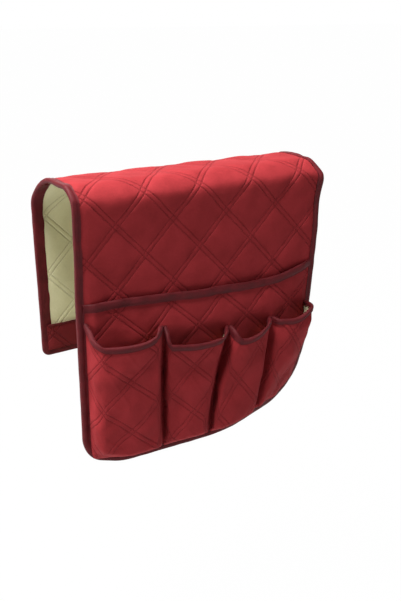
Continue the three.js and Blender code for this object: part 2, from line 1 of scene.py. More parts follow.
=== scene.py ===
"""Looks of the sofa armrest organizer: quilted cloth, wadding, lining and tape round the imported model.

Lengths are millimetres unless a name says otherwise. Points are worked out as NumPy arrays in millimetres
and become metres when they are given to a mesh. A place on the cloth is (x, run, height): x lies along the
arm, run is the distance along the outside of the saddle, which on the front panel is the same as z, and
height is measured outwards from the face that rests on the arm.
"""

import json
import logging
import math
from collections.abc import Callable, Sequence
from dataclasses import dataclass
from enum import Enum

import bpy
import numpy as np
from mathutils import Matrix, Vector


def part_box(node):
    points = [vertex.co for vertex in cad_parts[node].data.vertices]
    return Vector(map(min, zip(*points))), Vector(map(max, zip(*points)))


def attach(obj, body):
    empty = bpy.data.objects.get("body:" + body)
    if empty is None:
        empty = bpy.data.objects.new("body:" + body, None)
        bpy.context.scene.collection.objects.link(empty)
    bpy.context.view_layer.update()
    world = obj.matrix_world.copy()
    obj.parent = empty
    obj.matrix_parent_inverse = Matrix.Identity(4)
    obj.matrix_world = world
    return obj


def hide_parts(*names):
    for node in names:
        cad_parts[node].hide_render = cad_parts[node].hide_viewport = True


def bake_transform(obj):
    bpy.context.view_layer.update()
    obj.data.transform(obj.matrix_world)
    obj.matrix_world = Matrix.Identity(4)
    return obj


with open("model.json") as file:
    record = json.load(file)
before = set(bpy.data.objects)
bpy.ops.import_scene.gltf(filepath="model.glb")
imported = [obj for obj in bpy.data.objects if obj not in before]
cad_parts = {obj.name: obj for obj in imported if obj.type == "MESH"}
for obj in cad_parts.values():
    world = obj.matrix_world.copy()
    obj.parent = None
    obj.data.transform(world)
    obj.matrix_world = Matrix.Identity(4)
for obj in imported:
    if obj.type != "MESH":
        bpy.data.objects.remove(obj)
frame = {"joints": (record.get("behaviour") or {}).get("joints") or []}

MM = 0.001
LOG = logging.getLogger("organizer")
Array = np.ndarray
Place = Callable[[Array, Array, Array], Array]
Pattern = Callable[[Array, Array], tuple[Array, Array]]
Colour = tuple[int, int, int]
QUARTER = 0.5 * math.pi

# Thicknesses of the cloths and the tape, where the two halves of the cloth meet, and how much wider the
# tape's inner side is at the back.
COVER_GAUGE = 0.8
LINING_GAUGE = 0.5
TAPE_GAUGE = 0.7
MEETING_RUN = 81.0
BACK_TAPE_EXTRA = 4.5

# How finely curves are sampled, how a flat grid is cut, and how diamonds are told apart.
SPAN_STEPS = 24
CURVE_SAMPLES = 200
DRIFT_SAMPLES = 160
TAPE_DEGREES = 50.0
CUT_TOLERANCE_M = 1e-6
MERGE_DISTANCE_M = 2e-5
LINE_SLACK = 0.1
CELL_SCRAMBLE = (127.1, 311.7, 17.3)
SCRAMBLE_SCALE = 43758.5453


def smoothstep(low: float, high: float, value: Array) -> Array:
    """Rises smoothly from 0 at low to 1 at high.

    Args:
        low: Where the rise starts.
        high: Where the rise ends, below low for a fall.
        value: Values to look up.

    Returns:
        The share risen at each value.
    """
    share = np.clip((value - low) / (high - low), 0.0, 1.0)
    return share * share * (3.0 - 2.0 * share)


def soft_ramp(distance: Array, softness: float) -> Array:
    """Zero before 0 and the distance itself after it, with a round bend between.

    Args:
        distance: Signed distances.
        softness: Length over which the bend is rounded.

    Returns:
        The ramp at each distance.
    """
    return 0.5 * (distance + np.sqrt(distance * distance + softness * softness)) - 0.5 * softness


def mix(a: Array | float, b: Array | float, share: Array | float) -> Array:
    """Goes from a to b as share goes from 0 to 1.

    Args:
        a: Value at 0.
        b: Value at 1.
        share: The share.

    Returns:
        The mixed value.
    """
    return a + (b - a) * share


def smooth_curve(points: Sequence[tuple[float, ...]], count: int) -> Array:
    """Samples a Catmull-Rom curve through points at even steps of its length.

    Args:
        points: Points that the curve passes through.
        count: Number of samples.

    Returns:
        The samples, one row each.
    """
    given = np.asarray(points, float)
    padded = np.vstack([2 * given[0] - given[1], given, 2 * given[-1] - given[-2]])
    steps = np.linspace(0.0, 1.0, SPAN_STEPS, endpoint=False)[:, None]
    runs = []
    for a, b, c, d in zip(padded, padded[1:], padded[2:], padded[3:]):
        cubic = 3 * b - a - 3 * c + d
        square = 2 * a - 5 * b + 4 * c - d
        runs.append(b + 0.5 * steps * (c - a + steps * (square + steps * cubic)))
    line = np.vstack([*runs, given[-1:]])
    length = np.concatenate([[0.0], np.cumsum(np.linalg.norm(np.diff(line, axis=0), axis=1))])
    wanted = np.linspace(0.0, length[-1], count)
    return np.stack([np.interp(wanted, length, line[:, k]) for k in range(line.shape[1])], axis=1)


def lengths_along(line: Array) -> Array:
    """Length along a line of points, from 0 at its start.

    Args:
        line: The points, one row each.

    Returns:
        The length at each point.
    """
    return np.concatenate([[0.0], np.cumsum(np.hypot(*np.diff(line[:, :2], axis=0).T))])


@dataclass(frozen=True)
class Ramp:
    """A share that goes smoothly from 0 at its start to 1 at its end."""

    start: float
    end: float

    def at(self, value: Array) -> Array:
        """The share at each value."""
        return smoothstep(self.start, self.end, value)


@dataclass(frozen=True)
class Bell:
    """A share that is 1 at its middle and falls off at its own width below and above it."""

    middle: float
    below: float
    above: float

    def at(self, value: Array) -> Array:
        """The share at each value."""
        width = np.where(value < self.middle, self.below, self.above)
        return np.exp(-(((value - self.middle) / width) ** 2))


class Crumple:
    """Gentle unevenness of cloth, as a seeded sum of plane waves of about one length."""

    spread = (0.7, 1.6)

    def __init__(self, seed: int, length: float, waves: int = 9) -> None:
        """Draws the waves.

        Args:
            seed: Seed of the draw.
            length: Middle wave length.
            waves: How many waves are added up.
        """
        random = np.random.default_rng(seed)
        turn = random.uniform(0.0, 2.0 * math.pi, waves)
        number = 2.0 * math.pi / (length * random.uniform(*self.spread, waves))
        self.across = number * np.cos(turn)
        self.along = number * np.sin(turn)
        self.phase = random.uniform(0.0, 2.0 * math.pi, waves)

    def at(self, x: Array, run: Array) -> Array:
        """Height of the unevenness at each place, mostly between -1 and 1."""
        angle = np.multiply.outer(x, self.across) + np.multiply.outer(run, self.along) + self.phase
        return np.sin(angle).sum(axis=-1) / math.sqrt(len(self.phase))


SWAY = Crumple(seed=4, length=210.0, waves=6)
CREASES = Crumple(seed=11, length=42.0, waves=12)
FINE_CREASES = Crumple(seed=23, length=17.0, waves=14)
FREE_EDGE = Ramp(8.0, 20.0)


@dataclass(frozen=True)
class Saddle:
    """The bent shape of the organizer over the arm, with its sizes taken from the frame."""

    half_width: float
    flat: float
    front_radius: float
    back_radius: float
    front_drop: float
    back_drop: float
    thickness: float

    @classmethod
    def from_frame(cls) -> "Saddle":
        """Reads the sizes from the hinges and from the bindings' boxes.

        Returns:
            The saddle.
        """
        hinges = {joint["child"]: Vector(joint["pos_m"]) / MM for joint in frame["joints"]}
        front, back = hinges["front_panel"], hinges["back_flap"]
        top_low, top_high = (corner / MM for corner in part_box("binding_top_left"))
        thickness = top_high.z
        return cls(
            half_width=-top_low.x,
            flat=2.0 * (-front.y + front.z - thickness),
            front_radius=-front.z,
            back_radius=-back.z,
            front_drop=-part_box("binding_front")[0].z / MM,
            back_drop=-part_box("binding_back")[0].z / MM,
            thickness=thickness,
        )

    @property
    def flat_start(self) -> float:
        """Run where the flat starts."""
        return -self.front_radius + QUARTER * (self.front_radius + self.thickness)

    @property
    def flat_end(self) -> float:
        """Run where the flat ends."""
        return self.flat_start + self.flat

    @property
    def back_start(self) -> float:
        """Run where the back flap hangs straight down."""
        return self.flat_end + QUARTER * (self.back_radius + self.thickness)

    @property
    def back_end(self) -> float:
        """Run of the back hem."""
        return self.back_start + self.back_drop - self.back_radius

    @property
    def front_inside(self) -> float:
        """The front panel's inside face, as y."""
        return -(0.5 * self.flat + self.front_radius)

    @property
    def back_inside(self) -> float:
        """The back flap's inside face, as y."""
        return 0.5 * self.flat + self.back_radius

    def bend(self, x: Array, run: Array, height: Array) -> Array:
        """Puts places of the flat cloth where the saddle has them.

        Args:
            x: Place along the arm.
            run: Distance along the outside of the saddle.
            height: Distance outwards from the inside face.

        Returns:
            Points, one row each.
        """
        front = np.clip((run + self.front_radius) / (self.front_radius + self.thickness), 0.0, QUARTER)
        back = np.clip((run - self.flat_end) / (self.back_radius + self.thickness), 0.0, QUARTER)
        on_front = run < self.flat_start
        radius = np.where(on_front, self.front_radius, self.back_radius)
        reach = radius + height
        y_front = -0.5 * self.flat - reach * np.cos(front)
        z_front = -radius + reach * np.sin(front) + np.minimum(run + self.front_radius, 0.0)
        middle = np.clip(run - self.flat_start, 0.0, self.flat)
        y_back = -0.5 * self.flat + middle + reach * np.sin(back)
        z_back = -radius + reach * np.cos(back) - np.maximum(run - self.back_start, 0.0)
        y = np.where(on_front, y_front, y_back)
        z = np.where(on_front, z_front, z_back)
        return np.stack([x, y, z], axis=-1)


@dataclass(frozen=True)
class Quilting:
    """Double stitch lines that cross and part a cloth into diamonds.

    x and run are a place where two double lines cross. width and height are a diamond's diagonals, pair is
    the distance between the two stitch lines, and loft is how soon the cloth rises beside them.
    """

    x: float
    run: float
    width: float = 71.0
    height: float = 73.5
    pair: float = 5.5
    loft: float = 6.0
    ridge: float = 0.16
    variety: float = 0.16
    seed: int = 0

    @property
    def spacing(self) -> float:
        """Distance between the middles of neighbouring double lines."""
        return 1.0 / math.hypot(1.0 / self.width, 1.0 / self.height)

    def lines(self, x: Array, run: Array) -> tuple[Array, Array]:
        """Counts the double lines of each direction across the cloth.

        Args:
            x: Place along the arm.
            run: Distance along the saddle.

        Returns:
            The two line numbers at each place, whole numbers on a line.
        """
        across = (x - self.x) / self.width
        along = (run - self.run) / self.height
        return across + along, across - along

    def place(self, first: Array, second: Array) -> tuple[Array, Array]:
        """Turns the line numbers of both directions back into x and run."""
        x = self.x + 0.5 * self.width * (first + second)
        return x, self.run + 0.5 * self.height * (first - second)

    def relief(self, x: Array, run: Array) -> Array:
        """Height of the padded cloth between its stitches.

        Args:
            x: Place along the arm.
            run: Distance along the saddle.

        Returns:
            0 on a stitch, about 1 in the middle of a diamond.
        """
        first, second = self.lines(x, run)
        share = np.ones_like(np.asarray(x, float))
        ridge = np.zeros_like(share)
        for number in (first, second):
            distance = np.abs(number - np.round(number)) * self.spacing
            outside = np.maximum(distance - 0.5 * self.pair, 0.0)
            share = share * (1.0 - np.exp(-outside / self.loft))
            between = np.clip(1.0 - (distance / (0.5 * self.pair)) ** 2, 0.0, 1.0)
            ridge = np.maximum(ridge, self.ridge * between)
        return np.maximum(share * (1.0 + self.variety * self.fullness(first, second)), ridge)

    def fullness(self, first: Array, second: Array) -> Array:
        """How full each diamond is against the others, by a fixed scramble of its line numbers.

        Args:
            first: Line number of the first direction.
            second: Line number of the second direction.

        Returns:
            -0.5 to 0.5, the same all over a diamond.
        """
        a, b, c = CELL_SCRAMBLE
        cell = np.floor(first) * a + np.floor(second) * b + self.seed * c
        scrambled = np.sin(cell) * SCRAMBLE_SCALE
        return scrambled - np.floor(scrambled) - 0.5


def deselect_all() -> None:
    """Leaves nothing selected, so that the next operator acts on the new piece alone."""
    bpy.ops.object.select_all(action="DESELECT")


def coordinates(piece: bpy.types.Object) -> Array:
    """Reads a mesh's points.

    Args:
        piece: The mesh object.

    Returns:
        The points in millimetres, one row each.
    """
    flat = np.empty(3 * len(piece.data.vertices), np.float32)
    piece.data.vertices.foreach_get("co", flat)
    return flat.reshape(-1, 3).astype(float) / MM


def move_points(piece: bpy.types.Object, points: Array) -> None:
    """Gives a mesh new points and makes its faces point outwards.

    Args:
        piece: The mesh object.
        points: The points in millimetres.
    """
    piece.data.vertices.foreach_set("co", (points * MM).astype(np.float32).ravel())
    piece.data.update()
    piece.data.calc_loop_triangles()
    corners = np.empty(3 * len(piece.data.loop_triangles), np.int32)
    piece.data.loop_triangles.foreach_get("vertices", corners)
    a, b, c = (points[corners.reshape(-1, 3)[:, k]] for k in range(3))
    if np.einsum("ij,ij->", a, np.cross(b, c)) < 0.0:
        piece.data.flip_normals()


def lay_cloth(
    name: str,
    columns: Array,
    rows: Array,
    place: Place,
    pattern: Pattern | None = None,
    cuts: Sequence[tuple[tuple[float, float], tuple[float, float]]] = (),
    lattice: Quilting | None = None,
    smooth_degrees: float = 65.0,
) -> bpy.types.Object:
    """Makes a closed sheet of cloth from a flat grid: cuts it, gives it two faces, and lays it in place.

    Args:
        name: Name of the piece.
        columns: First coordinate of the grid's columns.
        rows: Second coordinate of the grid's rows.
        place: Gives the points for first coordinate, second coordinate and face, 1 outside and 0 inside.
        pattern: Gives the place on the uncut cloth, in millimetres, that the weave and stitches follow.
        cuts: Straight cuts, each a point and the direction that is cut away.
        lattice: Quilting whose line numbers the columns and rows are, so that the grid follows the stitches.
        smooth_degrees: Edges sharper than this stay sharp.

    Returns:
        The piece.
    """
    deselect_all()
    bpy.ops.mesh.primitive_grid_add(x_subdivisions=len(columns) - 1, y_subdivisions=len(rows) - 1, size=1)
    piece = bpy.context.object
    piece.name = name
    piece.data.name = name
    first, second = np.meshgrid(columns, rows)
    first, second = first.ravel(), second.ravel()
    if lattice is not None:
        first, second = lattice.place(first, second)
    flat = np.stack([first, second, np.zeros_like(first)], axis=1)
    piece.data.vertices.foreach_set("co", (flat * MM).astype(np.float32).ravel())
    piece.data.update()
    if lattice is not None:
        piece.data.flip_normals()
    if cuts:
        bpy.ops.object.mode_set(mode="EDIT")
        for (x, y), (away_x, away_y) in cuts:
            bpy.ops.mesh.select_all(action="SELECT")
            at, away = (x * MM, y * MM, 0.0), (away_x, away_y, 0.0)
            bpy.ops.mesh.bisect(plane_co=at, plane_no=away, clear_outer=True, threshold=CUT_TOLERANCE_M)
        bpy.ops.mesh.select_all(action="SELECT")
        bpy.ops.mesh.remove_doubles(threshold=MERGE_DISTANCE_M)
        bpy.ops.object.mode_set(mode="OBJECT")
    wall = piece.modifiers.new("wall", "SOLIDIFY")
    wall.thickness = MM
    wall.offset = -1.0
    wall.use_even_offset = False
    bpy.ops.object.modifier_apply(modifier=wall.name)
    flat = coordinates(piece)
    outside = (flat[:, 2] > -0.5).astype(float)
    set_pattern(piece, *(pattern(flat[:, 0], flat[:, 1]) if pattern else (flat[:, 0], flat[:, 1])))
    move_points(piece, place(flat[:, 0], flat[:, 1], outside))
    bpy.ops.object.shade_smooth_by_angle(angle=math.radians(smooth_degrees))
    return piece


def set_pattern(piece: bpy.types.Object, across: Array, along: Array) -> None:
    """Writes the place of every point on the uncut cloth as the piece's UV map, in metres.

    Args:
        piece: The mesh object.
        across: First coordinate of each point in millimetres.
        along: Second coordinate of each point in millimetres.
    """
    owner = np.empty(len(piece.data.loops), np.int32)
    piece.data.loops.foreach_get("vertex_index", owner)
    uv = np.stack([across[owner], along[owner]], axis=1) * MM
    layer = piece.data.uv_layers.active or piece.data.uv_layers.new(name="UVMap")
    layer.data.foreach_set("uv", uv.astype(np.float32).ravel())


def even_steps(low: float, high: float, step: float) -> Array:
    """Evenly spaced values from low to high, at most a step apart.

    Args:
        low: First value.
        high: Last value.
        step: Widest step.

    Returns:
        The values.
    """
    return np.linspace(low, high, max(2, math.ceil(abs(high - low) / step) + 1))


class Nodes:
    """A short way to write a material's nodes."""

    def __init__(self, name: str) -> None:
        """Makes a material with a Principled shader.

        Args:
            name: Name of the material.
        """
        self.material = bpy.data.materials.new(name)
        self.material.use_nodes = True
        self.tree = self.material.node_tree
        self.shader = next(n for n in self.tree.nodes if n.type == "BSDF_PRINCIPLED")

    def add(self, kind: str, inputs: dict | None = None, **settings: object) -> bpy.types.Node:
        """Adds a node.

        Args:
            kind: Type name of the node.
            inputs: Values or sockets for the node's inputs, by name or number.
            settings: Settings of the node.

        Returns:
            The node.
        """
        node = self.tree.nodes.new(kind)
        for key, value in settings.items():
            setattr(node, key, value)
        for key, value in (inputs or {}).items():
            if isinstance(value, bpy.types.NodeSocket):
                self.tree.links.new(value, node.inputs[key])
            else:
                node.inputs[key].default_value = value
        return node

    def math(self, operation: str, *values: object) -> bpy.types.NodeSocket:
        """Adds a Math node for numbers or sockets."""
        return self.add("ShaderNodeMath", dict(enumerate(values)), operation=operation).outputs[0]

    def blend(self, share: object, a: object, b: object) -> bpy.types.NodeSocket:
        """Mixes colour a with a share of colour b."""
        return self.add("ShaderNodeMix", {0: share, 6: a, 7: b}, data_type="RGBA").outputs[2]

    def range(self, value: object, low: float, high: float, to_low: float, to_high: float) -> object:
        """Maps a value smoothly from one range to another."""
        inputs = {"Value": value, "From Min": low, "From Max": high, "To Min": to_low, "To Max": to_high}
        return self.add("ShaderNodeMapRange", inputs, interpolation_type="SMOOTHSTEP").outputs["Result"]

    def noise(self, place: object, scale: float, detail: float) -> bpy.types.NodeSocket:
        """Adds a noise pattern that follows a place, about 0.5 on average."""
        return self.add("ShaderNodeTexNoise", {"Vector": place, "Scale": scale, "Detail": detail}).outputs[0]

    def sum(self, *values: object) -> object:
        """Adds up numbers or sockets.

        Args:
            values: Numbers or sockets, at least two.

        Returns:
            The sum.
        """
        total = values[0]
        for value in values[1:]:
            total = self.math("ADD", total, value)
        return total

    def cloth_place(self) -> tuple[object, object, object]:
        """Reads the place on the uncut cloth.

        Returns:
            The UV map in metres, and the place across and along the cloth in millimetres.
        """
        uv = self.add("ShaderNodeUVMap", uv_map="UVMap").outputs["UV"]
        split = self.add("ShaderNodeSeparateXYZ", {0: uv})
        return uv, *(self.math("DIVIDE", split.outputs[k], MM) for k in range(2))

    def surface(self, colour: object, height: object, strength: float) -> None:
        """Gives the shader its colour and its relief.

        Args:
            colour: The colour.
            height: Height of the relief in metres.
            strength: How strongly the relief shades.
        """
        bump = self.add("ShaderNodeBump", {"Height": height, "Strength": strength, "Distance": 1.0})
        self.tree.links.new(colour, self.shader.inputs["Base Color"])
        self.tree.links.new(bump.outputs[0], self.shader.inputs["Normal"])

    def gloss(self, roughness: object, specular: float, sheen: float, fuzz: float, tint: Colour) -> None:
        """Gives the shader its roughness, its gloss and the sheen of its fibres.

        Args:
            roughness: The roughness, as a socket.
            specular: Level of the gloss.
            sheen: Weight of the sheen.
            fuzz: Roughness of the sheen.
            tint: Colour of the sheen.
        """
        self.tree.links.new(roughness, self.shader.inputs["Roughness"])
        self.shader.inputs["Specular IOR Level"].default_value = specular
        self.shader.inputs["Sheen Weight"].default_value = sheen
        self.shader.inputs["Sheen Roughness"].default_value = fuzz
        self.shader.inputs["Sheen Tint"].default_value = linear(*tint)


def linear(red: int, green: int, blue: int) -> tuple[float, float, float, float]:
    """Turns a colour as it is seen on a screen into the shader's linear colour.

    Args:
        red: 0 to 255.
        green: 0 to 255.
        blue: 0 to 255.

    Returns:
        The linear colour with alpha 1.
    """
    channels = [c / 255.0 for c in (red, green, blue)]
    return (*(c / 12.92 if c <= 0.04045 else ((c + 0.055) / 1.055) ** 2.4 for c in channels), 1.0)


@dataclass(frozen=True)
class WovenFinish:
    """A woven polyester cloth, plain or quilted, with its thread count, mottling, soft sheen and painted
    shade.

    Depths are millimetres, and scales are those of the noise patterns on a map in metres.
    """

    name: str
    colour: Colour
    shade: Colour
    thread: Colour
    pitch: float = 0.9
    weave_depth: float = 0.05
    weave_shade: float = 0.22
    cloud_scale: float = 34.0
    fleck_scale: float = 420.0
    cloud_share: float = 0.65
    tone_range: tuple[float, float] = (0.3, 0.7)
    mottling: float = 0.19
    fuzz_scale: float = 900.0
    fuzz_depth: float = 0.05
    crumple_scale: float = 95.0
    crumple_depth: float = 0.55
    bump: float = 0.85
    roughness: float = 0.82
    roughness_swing: float = 0.06
    roughness_range: tuple[float, float] = (0.2, 0.8)
    specular: float = 0.1
    sheen: float = 0.14
    sheen_fuzz: float = 0.45
    sheen_colour: Colour = (255, 100, 105)
    quilting: Quilting | None = None
    stitch_pitch: float = 3.2
    stitch_gap: tuple[float, float] = (-0.75, -0.45)
    strand_edge: tuple[float, float] = (0.21, 0.42)
    groove_edge: tuple[float, float] = (0.3, 1.3)
    # Painted shade: how far the band beside each stitch line is darkened towards the thread colour.
    painted_groove_shade: float = 0.2
    groove_depth: float = 0.65
    thread_height: float = 0.3

    def material(self) -> bpy.types.Material:
        """Builds the material.

        Returns:
            The material.
        """
        nodes = Nodes(self.name)
        uv, across, along = nodes.cloth_place()
        weave = self.weave(nodes, across, along)
        cloud = nodes.noise(uv, self.cloud_scale, 4.0)
        fleck = nodes.noise(uv, self.fleck_scale, 3.0)
        fuzz = nodes.noise(uv, self.fuzz_scale, 2.0)
        crumple = nodes.noise(uv, self.crumple_scale, 3.0)
        clouds = nodes.math("MULTIPLY", cloud, self.cloud_share)
        mixed = nodes.sum(clouds, nodes.math("MULTIPLY", fleck, 1.0 - self.cloud_share))
        tone = nodes.range(mixed, *self.tone_range, 0.5 - self.mottling * 2.0, 0.5 + self.mottling * 2.0)
        colour = nodes.blend(tone, linear(*self.shade), linear(*self.colour))
        # Painted shade: the hollows of the weave are darkened towards the shade colour.
        weave_hollow_shade = nodes.math("MULTIPLY", nodes.math("SUBTRACT", 1.0, weave), self.weave_shade)
        colour = nodes.blend(weave_hollow_shade, colour, linear(*self.shade))
        height = nodes.sum(
            nodes.math("MULTIPLY", weave, self.weave_depth * MM),
            nodes.math("MULTIPLY", fuzz, self.fuzz_depth * MM),
            nodes.math("MULTIPLY", crumple, self.crumple_depth * MM),
        )
        if self.quilting is not None:
            hole, thread = self.stitches(nodes, across, along)
            # Painted shade: the band beside each stitch line is darkened towards the thread colour.
            colour = nodes.blend(nodes.math("MULTIPLY", hole, self.painted_groove_shade), colour, linear(*self.thread))
            colour = nodes.blend(thread, colour, linear(*self.thread))
            sunk = nodes.math("MULTIPLY", hole, -self.groove_depth * MM)
            raised = nodes.math("MULTIPLY", thread, self.thread_height * MM)
            height = nodes.sum(height, nodes.sum(sunk, raised))
        low, high = self.roughness - self.roughness_swing, self.roughness + self.roughness_swing
        nodes.surface(colour, height, self.bump)
        rough = nodes.range(fleck, *self.roughness_range, low, high)
        nodes.gloss(rough, self.specular, self.sheen, self.sheen_fuzz, self.sheen_colour)
        return nodes.material

    def weave(self, nodes: Nodes, across: object, along: object) -> object:
        """Height of the over and under of a plain weave.

        Args:
            nodes: The material's nodes.
            across: Place on the cloth across it.
            along: Place on the cloth along it.

        Returns:
            Height from 0 to 1.
        """
        turn = math.pi / self.pitch
        warp = nodes.math("SINE", nodes.math("MULTIPLY", across, turn))
        weft = nodes.math("SINE", nodes.math("MULTIPLY", along, turn))
        return nodes.math("ABSOLUTE", nodes.math("MULTIPLY", warp, weft))

    def stitches(self, nodes: Nodes, across: object, along: object) -> tuple[object, object]:
        """Where the quilting stitches press into the cloth and where their thread shows.

        Args:
            nodes: The material's nodes.
            across: Place on the cloth across it.
            along: Place on the cloth along it.

        Returns:
            Share of the band pressed in beside the stitches, which is sunk and darkened as painted shade, and
            share of the thread.
        """
        quilting = self.quilting
        a = nodes.math("DIVIDE", nodes.math("SUBTRACT", across, quilting.x), quilting.width)
        b = nodes.math("DIVIDE", nodes.math("SUBTRACT", along, quilting.run), quilting.height)
        holes, threads = [], []
        for line, other in (("ADD", "SUBTRACT"), ("SUBTRACT", "ADD")):
            number = nodes.math(line, a, b)
            off = nodes.math("ABSOLUTE", nodes.math("SUBTRACT", number, nodes.math("ROUND", number)))
            distance = nodes.math("MULTIPLY", off, quilting.spacing)
            beside = nodes.math("ABSOLUTE", nodes.math("SUBTRACT", distance, 0.5 * quilting.pair))
            holes.append(nodes.range(beside, *self.groove_edge, 1.0, 0.0))
            turn = 2.0 * math.pi * quilting.spacing / self.stitch_pitch
            dash = nodes.math("SINE", nodes.math("MULTIPLY", nodes.math(other, a, b), turn))
            lit = nodes.range(dash, *self.stitch_gap, 0.0, 1.0)
            strand = nodes.range(beside, *self.strand_edge, 1.0, 0.0)
            threads.append(nodes.math("MULTIPLY", strand, lit))
        return nodes.math("MAXIMUM", *holes), nodes.math("MAXIMUM", *threads)


@dataclass(frozen=True)
class TapeFinish:
    """A folded woven tape with fine ribs across it and a slight gloss."""

    name: str
    colour: Colour
    shade: Colour
    rib_pitch: float = 1.1
    twill_turn: float = 4.4
    rib_share: float = 0.6
    rib_depth: float = 0.06
    cloud_scale: float = 60.0
    cloud_depth: float = 0.5
    fleck_scale: float = 700.0
    fleck_share: float = 0.4
    fleck_depth: float = 0.08
    tone_range: tuple[float, float] = (0.45, 0.95)
    bump: float = 0.8
    roughness: float = 0.55
    roughness_swing: float = 0.08
    roughness_range: tuple[float, float] = (0.3, 0.7)
    specular: float = 0.14
    sheen: float = 0.06
    sheen_fuzz: float = 0.4
    sheen_colour: Colour = (230, 120, 130)

    def material(self) -> bpy.types.Material:
        """Builds the material.

        Returns:
            The material.
        """
        nodes = Nodes(self.name)
        uv, across, along = nodes.cloth_place()
        rib = nodes.math("SINE", nodes.math("MULTIPLY", along, 2.0 * math.pi / self.rib_pitch))
        twill = nodes.math("SINE", nodes.math("MULTIPLY", nodes.sum(across, along), self.twill_turn))
        cloud = nodes.noise(uv, self.cloud_scale, 4.0)
        fleck = nodes.noise(uv, self.fleck_scale, 2.0)
        mixed = nodes.sum(cloud, nodes.math("MULTIPLY", fleck, self.fleck_share))
        tone = nodes.range(mixed, *self.tone_range, 0.0, 1.0)
        colour = nodes.blend(tone, linear(*self.shade), linear(*self.colour))
        ribs = nodes.math("MULTIPLY", rib, self.rib_share)
        ribs = nodes.sum(ribs, nodes.math("MULTIPLY", twill, 1.0 - self.rib_share))
        height = nodes.sum(
            nodes.math("MULTIPLY", ribs, self.rib_depth * MM),
            nodes.math("MULTIPLY", fleck, self.fleck_depth * MM),
            nodes.math("MULTIPLY", cloud, self.cloud_depth * MM),
        )
        low, high = self.roughness - self.roughness_swing, self.roughness + self.roughness_swing
        nodes.surface(colour, height, self.bump)
        rough = nodes.range(cloud, *self.roughness_range, low, high)
        nodes.gloss(rough, self.specular, self.sheen, self.sheen_fuzz, self.sheen_colour)
        return nodes.material


@dataclass(frozen=True)
class WaddingFinish:
    """Soft white fibre wadding."""

    name: str = "fibre_wadding"
    colour: Colour = (238, 236, 230)
    shade: Colour = (214, 210, 200)
    cloud_scale: float = 180.0
    depth: float = 0.8
    bump: float = 0.9
    roughness: float = 0.95

    def material(self) -> bpy.types.Material:
        """Builds the material.

        Returns:
            The material.
        """
        nodes = Nodes(self.name)
        place = nodes.add("ShaderNodeTexCoord").outputs["Object"]
        cloud = nodes.noise(place, self.cloud_scale, 6.0)
        colour = nodes.blend(cloud, linear(*self.shade), linear(*self.colour))
        nodes.surface(colour, nodes.math("MULTIPLY", cloud, self.depth * MM), self.bump)
        nodes.shader.inputs["Roughness"].default_value = self.roughness
        return nodes.material


@dataclass(frozen=True)
class Opening:
    """How an end of a shoulder gapes: its move, how far along the arm that reaches, and at what heights."""

    move: tuple[float, float, float]
    reach: float
    heights: Bell

    def moves(self, from_end: Array, z: Array) -> Array:
        """The move at each distance from the end and each height."""
        return np.multiply.outer(np.exp(-from_end / self.reach) * self.heights.at(z), self.move)


